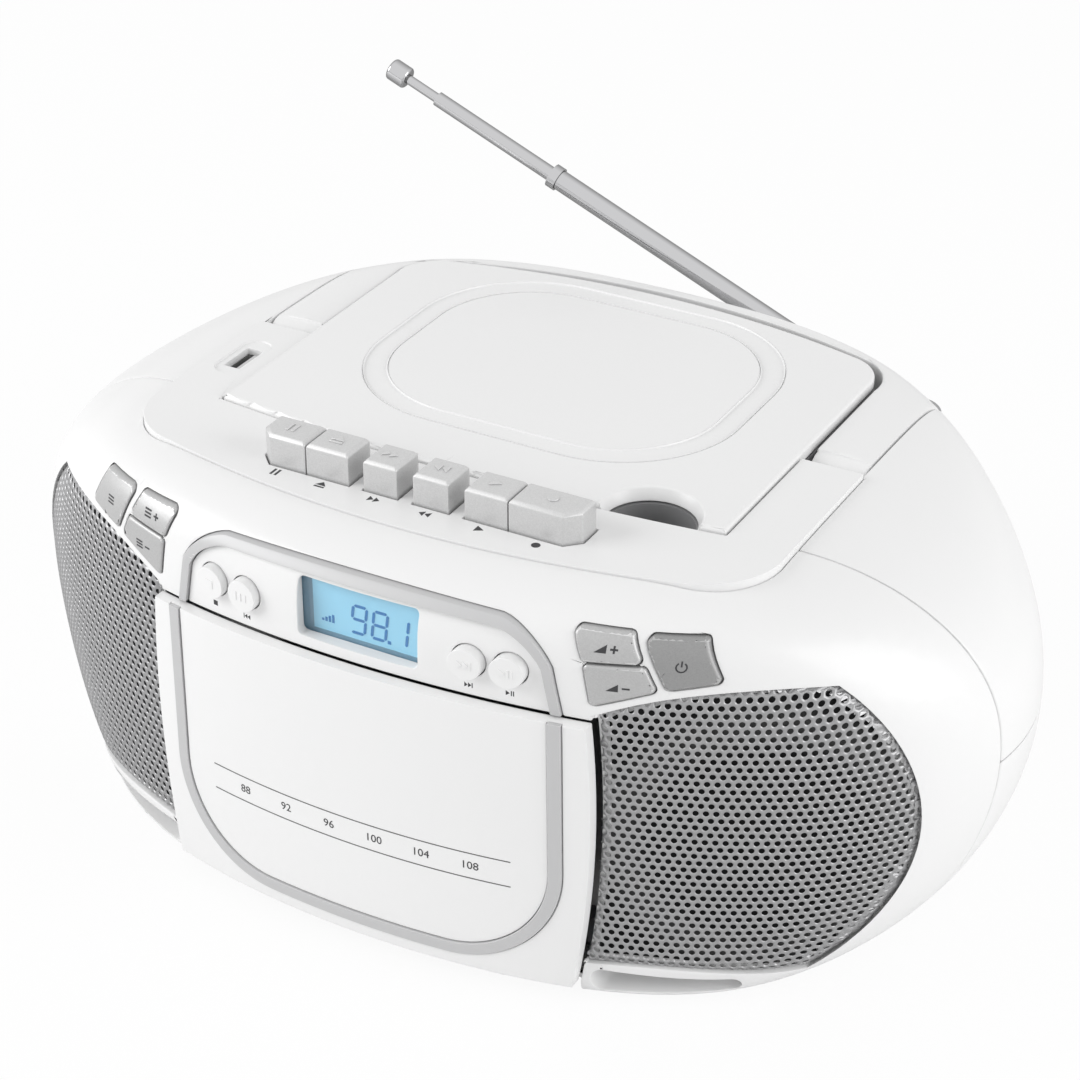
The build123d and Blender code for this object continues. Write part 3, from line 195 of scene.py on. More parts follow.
class SharedPatterns:
    """Shader groups that several finishes use."""

    @classmethod
    def get(cls, name: str) -> bpy.types.NodeTree:
        """Returns the group of that name, which is made once."""
        makers = {"moulded_grain": cls.grain, "paint_flakes": cls.flakes, "edge_highlight_mask": cls.edges}
        return bpy.data.node_groups.get(name) or makers[name](name)

    @staticmethod
    def start(name: str, inputs: Sequence[tuple[str, str]], outputs: Sequence[str]) -> ShaderSketch:
        """Makes an empty group with its sockets.

        Args:
            name: The group's name.
            inputs: Names and socket types of the inputs.
            outputs: Names of the outputs, which are all values.

        Returns:
            The sketch of the empty group.
        """
        tree = bpy.data.node_groups.new(name, "ShaderNodeTree")
        for label, kind in inputs:
            tree.interface.new_socket(label, in_out="INPUT", socket_type=kind)
        for label in outputs:
            tree.interface.new_socket(label, in_out="OUTPUT", socket_type="NodeSocketFloat")
        return ShaderSketch(tree)

    @classmethod
    def grain(cls, name: str) -> bpy.types.NodeTree:
        """Makes the group of moulded grain, soft patches and patchy gloss."""
        inputs = [("Vector", "NodeSocketVector"), ("Grain", "NodeSocketFloat")]
        sketch = cls.start(name, inputs, ["Height", "Patch", "Gloss"])
        given = sketch.node("NodeGroupInput")
        where = given.outputs["Vector"]
        layers = {"Height": (given.outputs["Grain"], 3.0), "Patch": (21.0, 2.0), "Gloss": (160.0, 4.0)}
        noises = {}
        for label, (scale, detail) in layers.items():
            noise = sketch.node("ShaderNodeTexNoise", {"Vector": where, "Scale": scale, "Detail": detail})
            noises[label] = noise.outputs[0]
        sketch.node("NodeGroupOutput", noises)
        return sketch.tree

    @classmethod
    def flakes(cls, name: str) -> bpy.types.NodeTree:
        """Makes the group of metal flakes in silver paint."""
        sketch = cls.start(name, [("Vector", "NodeSocketVector"), ("Size", "NodeSocketFloat")], ["Flake"])
        given = sketch.node("NodeGroupInput")
        place = {"Vector": given.outputs["Vector"], "Scale": given.outputs["Size"]}
        cells = sketch.node("ShaderNodeTexVoronoi", place)
        tone = sketch.node("ShaderNodeSeparateColor", {0: cells.outputs["Color"]})
        sketch.node("NodeGroupOutput", {"Flake": tone.outputs[0]})
        return sketch.tree

    @classmethod
    def edges(cls, name: str) -> bpy.types.NodeTree:
        """Makes the group that finds sharp edges, where a finish gets a painted highlight."""
        sketch = cls.start(name, [("Radius", "NodeSocketFloat")], ["Mask"])
        given = sketch.node("NodeGroupInput")
        rounded = sketch.node("ShaderNodeBevel", {"Radius": given.outputs["Radius"]}, samples=4)
        flat = sketch.node("ShaderNodeNewGeometry")
        normals = {0: rounded.outputs[0], 1: flat.outputs["Normal"]}
        facing = sketch.node("ShaderNodeVectorMath", normals, operation="DOT_PRODUCT")
        limits = {"From Min": 0.99, "From Max": 0.72}
        mask = sketch.node("ShaderNodeMapRange", {"Value": facing.outputs["Value"], **limits})
        sketch.node("NodeGroupOutput", {"Mask": mask.outputs[0]})
        return sketch.tree


@dataclass(frozen=True)
class Finish:
    """One surface finish.

    Attributes:
        name: Name of the material.
        colour: Base colour, linear.
        roughness: Middle of the roughness.
        metallic: Metal share.
        coat: Weight of the clear coat.
        grain: Grains per metre.
        relief: Height of the grain in metres.
        mottle: How far the colour strays, as a share.
        scuff: How far the roughness strays.
        flakes: Metal flakes per metre, or 0 for none.
        wear: How far sharp edges lighten, as a painted highlight where edges would catch the light.
        stretch: Scale of the pattern along X, Y and Z, uneven for brushed metal.
    """

    name: str
    colour: Colour
    roughness: float
    metallic: float = 0.0
    coat: float = 0.0
    grain: float = 1100.0
    relief: float = 0.004 * MM
    mottle: float = 0.02
    scuff: float = 0.05
    flakes: float = 0.0
    wear: float = 0.0
    stretch: Colour = (1.0, 1.0, 1.0)

    def material(self) -> bpy.types.Material:
        """Returns the material, which is made once.

        Returns:
            The procedural material.
        """
        made = bpy.data.materials.get(self.name)
        if made is None:
            made = bpy.data.materials.new(self.name)
            made.use_nodes = True
            self.compose(ShaderSketch(made.node_tree))
        return made

    def compose(self, sketch: ShaderSketch) -> None:
        """Lays out the whole material.

        Args:
            sketch: The material's own tree.
        """
        shader = self.surface(sketch)
        sketch.node("ShaderNodeOutputMaterial", {"Surface": shader.outputs[0]})

    def place(self, sketch: ShaderSketch) -> bpy.types.NodeSocket:
        """Returns the pattern's place on the object.

        Args:
            sketch: The material's own tree.

        Returns:
            Stretched object coordinates.
        """
        spot = sketch.node("ShaderNodeTexCoord").outputs["Object"]
        return sketch.node("ShaderNodeMapping", {"Vector": spot, "Scale": self.stretch}).outputs[0]

    def paint(self, sketch: ShaderSketch, where: bpy.types.NodeSocket, patch: bpy.types.NodeSocket) -> object:
        """Mixes the colour.

        Args:
            sketch: The material's own tree.
            where: Pattern coordinates.
            patch: Mask of soft patches.

        Returns:
            The colour's socket.
        """
        darker = tuple(c * (1 - self.mottle) for c in self.colour)
        lighter = tuple(min(1.0, c * (1 + self.mottle)) for c in self.colour)
        colour = sketch.blend(patch, darker, lighter)
        if self.flakes:
            inputs = {"Vector": where, "Size": self.flakes}
            group = sketch.node("ShaderNodeGroup", inputs, node_tree=SharedPatterns.get("paint_flakes"))
            share = sketch.spread(group.outputs["Flake"], 0.0, 0.35)
            colour = sketch.blend(share, colour, tuple(c * 0.72 for c in self.colour))
        # Painted highlight: sharp edges are lightened, standing in for the light that edges catch.
        if self.wear:
            highlight_group = SharedPatterns.get("edge_highlight_mask")
            edges = sketch.node("ShaderNodeGroup", {"Radius": EDGE_HIGHLIGHT_RADIUS}, node_tree=highlight_group)
            highlight_share = sketch.spread(edges.outputs["Mask"], 0.0, self.wear)
            colour = sketch.blend(highlight_share, colour, tuple(min(0.9, c * 1.5 + 0.08) for c in self.colour))
        return colour

    def surface(self, sketch: ShaderSketch) -> bpy.types.Node:
        """Makes the shader with its colour, roughness and relief.

        Args:
            sketch: The material's own tree.

        Returns:
            The Principled node.
        """
        where = self.place(sketch)
        inputs = {"Vector": where, "Grain": self.grain}
        group = sketch.node("ShaderNodeGroup", inputs, node_tree=SharedPatterns.get("moulded_grain"))
        colour = self.paint(sketch, where, group.outputs["Patch"])
        low = max(0.02, self.roughness - self.scuff)
        gloss = sketch.spread(group.outputs["Gloss"], low, self.roughness + self.scuff)
        height = {"Height": group.outputs["Height"], "Strength": 1.0, "Distance": self.relief}
        bump = sketch.node("ShaderNodeBump", height)
        looks = {"Base Color": colour, "Roughness": gloss, "Normal": bump.outputs[0]}
        constants = {"Metallic": self.metallic, "Coat Weight": self.coat, "Coat Roughness": COAT_ROUGHNESS}
        return sketch.node("ShaderNodeBsdfPrincipled", {**looks, **constants})


@dataclass(frozen=True)
class PaintedFinish(Finish):
    """Silver paint with metal flakes."""

    roughness: float = 0.42
    metallic: float = 0.45
    flakes: float = 3600.0
    relief: float = 0.006 * MM


@dataclass(frozen=True)
class BacklitFinish(Finish):
    """A finish that also glows.

    Attributes:
        glow: Strength of its own light.
    """

    glow: float = 0.4

    def surface(self, sketch: ShaderSketch) -> bpy.types.Node:
        """Adds the glow to the plain shader.

        Args:
            sketch: The material's own tree.

        Returns:
            The Principled node.
        """
        shader = super().surface(sketch)
        source = shader.inputs["Base Color"].links[0].from_socket
        sketch.tree.links.new(source, shader.inputs["Emission Color"])
        shader.inputs["Emission Strength"].default_value = self.glow
        return shader


@dataclass(frozen=True)
class ChromeFinish(Finish):
    """Polished metal whose edges mirror the dark room.

    Attributes:
        dark: Colour of the painted reflection at the edges.
    """

    dark: Colour = (0.1, 0.1, 0.1)

    def paint(self, sketch: ShaderSketch, where: bpy.types.NodeSocket, patch: bpy.types.NodeSocket) -> object:
        """Mixes the colour with the painted reflection at the edges.

        Args:
            sketch: The material's own tree.
            where: Pattern coordinates.
            patch: Mask of soft patches.

        Returns:
            The colour's socket.
        """
        colour = super().paint(sketch, where, patch)
        # Painted reflection: the colour darkens towards grazing angles, for the dark room mirrored at the
        # edges.
        facing = sketch.node("ShaderNodeLayerWeight", {"Blend": 0.35})
        limits = {"From Min": 0.12, "From Max": 0.6}
        edge = sketch.node("ShaderNodeMapRange", {"Value": facing.outputs["Facing"], **limits})
        return sketch.blend(edge.outputs[0], colour, self.dark)


@dataclass(frozen=True)
class ClearFinish(Finish):
    """Clear plastic, which casts no dark shadow."""

    def compose(self, sketch: ShaderSketch) -> None:
        """Lays out a clear shader that lets shadow rays through.

        Args:
            sketch: The material's own tree.
        """
        shader = self.surface(sketch)
        shader.inputs["Transmission Weight"].default_value = 1.0
        shader.inputs["IOR"].default_value = 1.47
        ray = sketch.node("ShaderNodeLightPath")
        through = sketch.node("ShaderNodeBsdfTransparent")
        mix = sketch.node(
            "ShaderNodeMixShader",
            {0: ray.outputs["Is Shadow Ray"], 1: shader.outputs[0], 2: through.outputs[0]},
        )
        sketch.node("ShaderNodeOutputMaterial", {"Surface": mix.outputs[0]})


@dataclass(frozen=True)
class ClothFinish(Finish):
    """Woven cloth behind the speaker mesh, with a ring of painted light over the speaker's rim, where light
    reaches behind the grille.

    Attributes:
        centre: Middle of the speaker in metres.
        rim: Inner and outer radius of the ring of painted light in metres.
        soft: Half of the width over which the ring fades.
        pale: Colour of the painted light on the ring.
    """

    centre: Colour = (0.0, 0.0, 0.0)
    rim: Point = (33 * MM, 43 * MM)
    soft: float = 2.5 * MM
    pale: Colour = (0.1, 0.1, 0.1)

    def paint(self, sketch: ShaderSketch, where: bpy.types.NodeSocket, patch: bpy.types.NodeSocket) -> object:
        """Mixes the cloth's colour with the ring of painted light.

        Args:
            sketch: The material's own tree.
            where: Pattern coordinates.
            patch: Mask of soft patches.

        Returns:
            The colour's socket.
        """
        colour = super().paint(sketch, where, patch)
        reach = sketch.node("ShaderNodeVectorMath", {0: where, 1: self.centre}, operation="DISTANCE")
        masks = []
        for radius, fade in zip(self.rim, (self.soft, -self.soft)):
            limits = {"From Min": radius - fade, "From Max": radius + fade}
            masks.append(sketch.node("ShaderNodeMapRange", {"Value": reach.outputs["Value"], **limits}))
        both = {0: masks[0].outputs[0], 1: masks[1].outputs[0]}
        ring = sketch.node("ShaderNodeMath", both, operation="MULTIPLY")
        # Painted light: the cloth turns paler on a ring over the speaker's rim, where light reaches behind
        # the grille.
        return sketch.blend(ring.outputs[0], colour, self.pale)


class Finishes:
    """All finishes of the stereo."""

    # The silver, grey and grille finishes below get a painted highlight on their sharp edges.
    WHITE = Finish("white_moulded_plastic", (0.86, 0.86, 0.86), 0.36, coat=0.12, mottle=0.008, scuff=0.04)
    WHITE_CAP = Finish("white_button_plastic", (0.86, 0.86, 0.86), 0.42, mottle=0.01, scuff=0.05)
    SILVER_KEY = PaintedFinish("silver_painted_keys", (0.66, 0.66, 0.66), wear=0.8)
    SILVER_BUTTON = PaintedFinish("silver_painted_buttons", (0.52, 0.52, 0.52), wear=0.6)
    DARK_BUTTON = PaintedFinish("grey_painted_button", (0.33, 0.33, 0.33), metallic=0.4, wear=0.7)
    SILVER_TRIM = Finish(
        "silver_brushed_trim",
        (0.56, 0.56, 0.565),
        0.45,
        metallic=0.15,
        wear=0.6,
        grain=700.0,
        relief=0.005 * MM,
        stretch=(0.08, 1.0, 1.0),
    )
    GRILLE = Finish(
        "punched_grille_metal", (0.36, 0.36, 0.365), 0.36, metallic=0.6, mottle=0.05, scuff=0.06, wear=0.9
    )
    CHROME = ChromeFinish("polished_chrome", (0.6, 0.6, 0.61), 0.09, metallic=1.0, mottle=0.01, scuff=0.03)
    STEEL = Finish("bare_steel", (0.50, 0.50, 0.51), 0.32, metallic=0.9, mottle=0.05, stretch=(1.0, 0.2, 1.0))
    BRASS = Finish("turned_brass", (0.60, 0.45, 0.20), 0.3, metallic=0.9, mottle=0.05)
    WELL = Finish("grey_well_plastic", (0.27, 0.27, 0.275), 0.5, mottle=0.05)
    DARK = Finish("dark_moulded_plastic", (0.03, 0.03, 0.032), 0.45, mottle=0.08, relief=0.01 * MM)
    RUBBER = Finish("black_rubber", (0.022, 0.022, 0.022), 0.7, mottle=0.1, relief=0.02 * MM)
    CONE = Finish("speaker_paper", (0.02, 0.02, 0.02), 0.8, mottle=0.15, grain=2600.0, relief=0.03 * MM)
    BOARD = Finish("green_board", (0.03, 0.14, 0.06), 0.45, mottle=0.12, grain=500.0)
    PRINT = Finish("dark_print", (0.035, 0.035, 0.038), 0.55, mottle=0.08)
    GREY_PRINT = Finish("grey_print", (0.11, 0.11, 0.112), 0.55, mottle=0.08)
    BACKLIGHT = BacklitFinish("display_backlight", (0.28, 0.60, 0.79), 0.35, glow=0.1, mottle=0.02)
    # Painted shade of the window's recess, on the display's unlit border at the left and at the foot.
    LCD_EDGE = BacklitFinish("display_edge_shade", (0.13, 0.26, 0.36), 0.4, glow=0.1, mottle=0.05)
    LCD_DIGIT = BacklitFinish("display_digit", (0.0, 0.15, 0.41), 0.4, glow=0.1, mottle=0.04)
    PANE = ClearFinish(
        "clear_display_pane", (1.0, 1.0, 1.0), 0.05, scuff=0.01, relief=0.0005 * MM, mottle=0.0
    )


SLOT_FINISHES = {
    "white_body": Finishes.WHITE,
    "white_button": Finishes.WHITE_CAP,
    "grille_metal": Finishes.GRILLE,
    "speaker_black": Finishes.CONE,
    "silver_trim": Finishes.SILVER_TRIM,
    "silver_key": Finishes.SILVER_KEY,
    "silver_button": Finishes.SILVER_BUTTON,
    "clear_window": Finishes.PANE,
    "display_blue": Finishes.BACKLIGHT,
    "grey_well": Finishes.WELL,
    "dark_plastic": Finishes.DARK,
    "bare_steel": Finishes.STEEL,
    "brass_pulley": Finishes.BRASS,
    "black_rubber": Finishes.RUBBER,
    "green_board": Finishes.BOARD,
    "chrome": Finishes.CHROME,
}


class Bench:
    """Operator calls that shape one object at a time, as at a workbench."""

    @staticmethod
    def only(obj: bpy.types.Object) -> None:
        """Makes one object the active and only selected one."""
        bpy.ops.object.select_all(action="DESELECT")
        obj.select_set(True)
        bpy.context.view_layer.objects.active = obj

    @staticmethod
    @contextmanager
    def editing(obj: bpy.types.Object, element: Element, everything: bool = False) -> Iterator[None]:
        """Opens an object for editing, with all or nothing selected.

        Args:
            obj: The mesh object.
            element: What is selected by.
            everything: True to start with all selected.

        Yields:
            Nothing; the object is in edit mode meanwhile.
        """
        Bench.only(obj)
        bpy.ops.object.mode_set(mode="EDIT")
        bpy.ops.mesh.select_mode(type=element.value)
        bpy.ops.mesh.select_all(action="SELECT" if everything else "DESELECT")
        yield
        bpy.ops.object.mode_set(mode="OBJECT")

    @staticmethod
    def pick(obj: bpy.types.Object, element: Element, test: Callable[[object], bool]) -> int:
        """Selects the elements that pass a test, in edit mode.

        Args:
            obj: The object in edit mode.
            element: The kind of element.
            test: True for the elements to select.

        Returns:
            How many were selected.
        """
        mesh = bmesh.from_edit_mesh(obj.data)
        items = {Element.VERT: mesh.verts, Element.EDGE: mesh.edges, Element.FACE: mesh.faces}[element]
        chosen = [item for item in items if test(item)]
        for item in chosen:
            item.select_set(True)
        mesh.select_flush_mode()
        bmesh.update_edit_mesh(obj.data)
        return len(chosen)

    @staticmethod
    def modify(obj: bpy.types.Object, kind: str, **settings: object) -> None:
        """Adds a modifier with its settings and applies it.

        Args:
            obj: The object.
            kind: Blender's name of the modifier type.
            settings: The modifier's properties.
        """
        Bench.only(obj)
        modifier = obj.modifiers.new(kind.lower(), kind)
        for key, value in settings.items():
            setattr(modifier, key, value)
        bpy.ops.object.modifier_apply(modifier=modifier.name)

    @staticmethod
    def cast(node: str, name: str, dissolve: float = 0.2) -> bpy.types.Object:
        """Copies a solid's mesh into a new object, with its triangles joined to clean faces.

        Args:
            node: The CAD node.
            name: The new piece's name.
            dissolve: Angle in degrees up to which faces are joined.

        Returns:
            The new object.
        """
        mesh = bpy.data.objects[node].data.copy()
        piece = bpy.data.objects.new(name, mesh)
        bpy.context.scene.collection.objects.link(piece)
        Bench.only(piece)
        bpy.ops.mesh.customdata_custom_splitnormals_clear()
        with Bench.editing(piece, Element.VERT, everything=True):
            bpy.ops.mesh.remove_doubles(threshold=0.002 * MM)
            bpy.ops.mesh.dissolve_limited(angle_limit=math.radians(dissolve))
        return piece

    @staticmethod
    def feeler(piece: bpy.types.Object) -> BVHTree:
        """Returns a tree that finds places on a piece's surface."""
        corners = [vertex.co.copy() for vertex in piece.data.vertices]
        return BVHTree.FromPolygons(corners, [tuple(face.vertices) for face in piece.data.polygons])

    @staticmethod
    def round_edges(piece: bpy.types.Object, width: float, segments: int = 2, angle: float = 40.0) -> None:
        """Rounds the sharp edges of a piece; corners that the rounding throws out are put back.

        Args:
            piece: The object.
            width: Width of the rounding in metres.
            segments: Steps of the rounding.
            angle: Edges sharper than this many degrees are rounded.
        """
        before = Bench.feeler(piece)
        Bench.modify(
            piece,
            "BEVEL",
            width=width,
            segments=segments,
            limit_method="ANGLE",
            angle_limit=math.radians(angle),
            use_clamp_overlap=False,
        )
        for vertex in piece.data.vertices:
            nearest, _, _, gap = before.find_nearest(vertex.co)
            if gap > 0.6 * width:
                vertex.co = nearest
        piece.data.update()

    @staticmethod
    def smooth(piece: bpy.types.Object, angle: float = 32.0) -> None:
        """Shades curved faces smooth and keeps flat faces flat.

        Args:
            piece: The object.
            angle: Edges sharper than this many degrees stay sharp.
        """
        Bench.only(piece)
        bpy.ops.object.shade_smooth_by_angle(angle=math.radians(angle))
        Bench.modify(piece, "WEIGHTED_NORMAL", keep_sharp=True, weight=50)

    @staticmethod
    def join(pieces: Sequence[bpy.types.Object], name: str) -> bpy.types.Object:
        """Joins objects to one.

        Args:
            pieces: The objects, at least one.
            name: The name of the result.

        Returns:
            The joined object.
        """
        Bench.only(pieces[0])
        for other in pieces[1:]:
            other.select_set(True)
        if len(pieces) > 1:
            bpy.ops.object.join()
        pieces[0].name = name
        return pieces[0]

    @staticmethod
    def plate(outline: Sequence[Point], height: float, base: float = 0.0) -> bpy.types.Object:
        """Models a flat plate in the XY plane from a round blank.

        Args:
            outline: Its corners in millimetres, in order round it.
            height: Its thickness in millimetres.
            base: Height of its lower face in millimetres.

        Returns:
            The plate, with its face up.
        """
        bpy.ops.object.select_all(action="DESELECT")
        bpy.ops.mesh.primitive_circle_add(vertices=len(outline), radius=MM, fill_type="NGON")
        plate = bpy.context.object
        for vertex, (x, y) in zip(plate.data.vertices, outline):
            vertex.co = (x * MM, y * MM, base * MM)
        plate.data.update()
        if plate.data.polygons[0].normal.z < 0:
            with Bench.editing(plate, Element.FACE, everything=True):
                bpy.ops.mesh.flip_normals()
        Bench.modify(plate, "SOLIDIFY", thickness=height * MM, offset=1.0)
        return plate

    @staticmethod
    def lattice(low: Point, high: Point, cuts: tuple[int, int]) -> bpy.types.Object:
        """Models a flat, evenly divided sheet in the XY plane.

        Args:
            low: Lower left corner in millimetres.
            high: Upper right corner in millimetres.
            cuts: Faces along X and along Y.

        Returns:
            The sheet, facing up.
        """
        bpy.ops.object.select_all(action="DESELECT")
        bpy.ops.mesh.primitive_grid_add(x_subdivisions=cuts[0], y_subdivisions=cuts[1], size=MM)
        sheet = bpy.context.object
        middle = Matrix.Translation(((low[0] + high[0]) / 2 * MM, (low[1] + high[1]) / 2 * MM, 0))
        Bench.put(sheet, middle @ Matrix.Diagonal((high[0] - low[0], high[1] - low[1], 1, 1)))
        return sheet

    @staticmethod
    def reshape(piece: bpy.types.Object, change: Callable[[np.ndarray], np.ndarray]) -> None:
        """Moves every vertex by a formula.

        Args:
            piece: The object.
            change: Takes and returns the places in millimetres, one row each.
        """
        count = len(piece.data.vertices)
        places = np.empty(count * 3)
        piece.data.vertices.foreach_get("co", places)
        moved = change(places.reshape(count, 3) / MM) * MM
        piece.data.vertices.foreach_set("co", moved.ravel())
        piece.data.update()

    @staticmethod
    def lay_on(piece: bpy.types.Object, carrier: bpy.types.Object, above: bool = False) -> None:
        """Lays a flat piece on the front of another: its Y turns to height, its Z stands off the carrier.

        Args:
            piece: The flat piece, which lies before the carrier all over.
            carrier: The piece whose front is felt from -Y.
            above: True to lay it on the top instead, which is felt from +Z.
        """
        Bench.modify(piece, "SUBSURF", subdivision_type="SIMPLE", levels=2, render_levels=2)
        tree = Bench.feeler(carrier)

        def lay(places: np.ndarray) -> np.ndarray:
            """Returns the places on the carrier's front."""
            for place in places:
                x, z, height = place
                if above:
                    hit = tree.ray_cast(Vector((x * MM, z * MM, FAR)), Vector((0.0, 0.0, -1.0)))[0]
                    place[2] = hit.z / MM + height
                else:
                    hit = tree.ray_cast(Vector((x * MM, -FAR, z * MM)), Vector((0.0, 1.0, 0.0)))[0]
                    place[:] = (x, hit.y / MM - height, z)
            return places

        Bench.reshape(piece, lay)

    @staticmethod
    def number(digits: str, size: float, place: Point, height: float) -> bpy.types.Object:
        """Models a plain number, lying in the XY plane and centred on its place.

        Args:
            digits: The number.
            size: Height of the type in millimetres.
            place: Where its middle lies in millimetres.
            height: Thickness in millimetres.

        Returns:
            The number as a mesh.
        """
        bpy.ops.object.select_all(action="DESELECT")
        bpy.ops.object.text_add()
        text = bpy.context.object
        text.data.body = digits
        text.data.size = size * MM
        text.data.align_x = "CENTER"
        text.data.align_y = "CENTER"
        text.data.extrude = height / 2 * MM
        text.data.resolution_u = 4
        bpy.ops.object.convert(target="MESH")
        made = bpy.context.object
        Bench.put(made, Matrix.Translation((place[0] * MM, place[1] * MM, height / 2 * MM)))
        return made

    @staticmethod
    def put(piece: bpy.types.Object, matrix: Matrix) -> None:
        """Moves a piece's mesh to its place and leaves its object at the origin.

        Args:
            piece: The object.
            matrix: From the piece's own frame to the stereo's.
        """
        piece.matrix_world = matrix
        Bench.only(piece)
        bpy.ops.object.transform_apply(location=True, rotation=True, scale=True)


class Assembly:
    """What every sub-assembly does with its finished pieces."""

    def settle(
        self, piece: bpy.types.Object, body: str, finish: Finish, slot: str, replaces: Sequence[str] = ()
    ) -> None:
        """Dresses a piece, lets it ride on a body and hides the solids that it stands for.

        Args:
            piece: The finished object.
            body: The body that carries it.
            finish: Its finish.
            slot: The record's material slot; not used.
            replaces: CAD nodes that it stands for.
        """
        piece.data.materials.clear()
        piece.data.materials.append(finish.material())
        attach(piece, body)
        if replaces:
            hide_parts(*replaces)
        LOG.info("%s rides on %s, %d faces", piece.name, body, len(piece.data.polygons))


@dataclass
class Castings(Assembly):
    """The moulded pieces whose solids are right: each gets rounded edges and smooth faces.

    Attributes:
        edges: Width of the edge rounding in millimetres, by node.
    """

    frame: dict
    edges: dict[str, float] = field(
        default_factory=lambda: {
            "front_cabinet": 0.5,
            "top_cabinet": 0.5,
            "rear_cabinet": 0.5,
            "deck_panel": 0.35,
            "display_panel": 0.4,
            "cd_lid": 0.6,
            "cassette_door": 0.35,
            "handle": 0.7,
            "arch_trim": 0.3,
            "door_trim": 0.3,
        }
    )

    def build(self) -> None:
        """Builds all castings and dresses the solids that stay as they are."""
        record = self.frame["record"]
        slots = {part["node"]: part["material_slot"] for part in record["subparts"]}
        bodies = {node: body for body, nodes in record["behaviour"]["bodies"].items() for node in nodes}
        for node, obj in self.frame["nodes"].items():
            if node in self.edges:
                self.mould(node, bodies[node], slots[node])
            else:
                obj.data.materials.clear()
                obj.data.materials.append(SLOT_FINISHES[slots[node]].material())

    def mould(self, node: str, body: str, slot: str) -> None:
        """Makes one casting.

        Args:
            node: The CAD node.
            body: Its body.
            slot: Its material slot.
        """
        piece = Bench.cast(node, node + "_moulding")
        Bench.round_edges(piece, self.edges[node] * MM)
        Bench.smooth(piece)
        self.settle(piece, body, SLOT_FINISHES[slot], slot, [node])


@dataclass(frozen=True)
class FrontSkin:
    """The curved front of the cabinet as a formula, in millimetres.

    Attributes:
        half_width: Half of the cabinet's width, seen from above.
        middle_y: Where the ellipse of the front has its middle.
        depth: How far the front stands before that middle.
        top_depth: The same at the top edge.
        round_from: Height at which the front starts to lean back.
        top: Height of the top edge.
    """

    half_width: float = 164.0
    middle_y: float = -6.4
    depth: float = 96.0
    top_depth: float = 73.0
    round_from: float = 110.0
    top: float = 127.0

    def front(self, x: np.ndarray, z: np.ndarray, proud: np.ndarray) -> np.ndarray:
        """Finds the front.

        Args:
            x: Places across.
            z: Heights.
            proud: How far before the front, or behind it if negative.

        Returns:
            Their Y.
        """
        share = np.clip((z - self.round_from) / (self.top - self.round_from), 0.0, 0.999)
        reach = self.depth - (self.depth - self.top_depth) * (1 - np.sqrt(1 - share**2)) + proud
        across = np.clip(x / (self.half_width + proud), -0.999, 0.999)
        return self.middle_y - reach * np.sqrt(1 - across**2)

    def drape(self, piece: bpy.types.Object, proud: float) -> None:
        """Lays a flat piece on the front: its X stays, its Y turns to height and its Z to proudness.

        Args:
            piece: The flat piece.
            proud: How far before the front its zero height lies.
        """

        def lay(places: np.ndarray) -> np.ndarray:
            """Returns the draped places."""
            x, z, height = places.T
            return np.stack([x, self.front(x, z, proud + height), z], axis=1)

        Bench.reshape(piece, lay)


SKIN = FrontSkin()


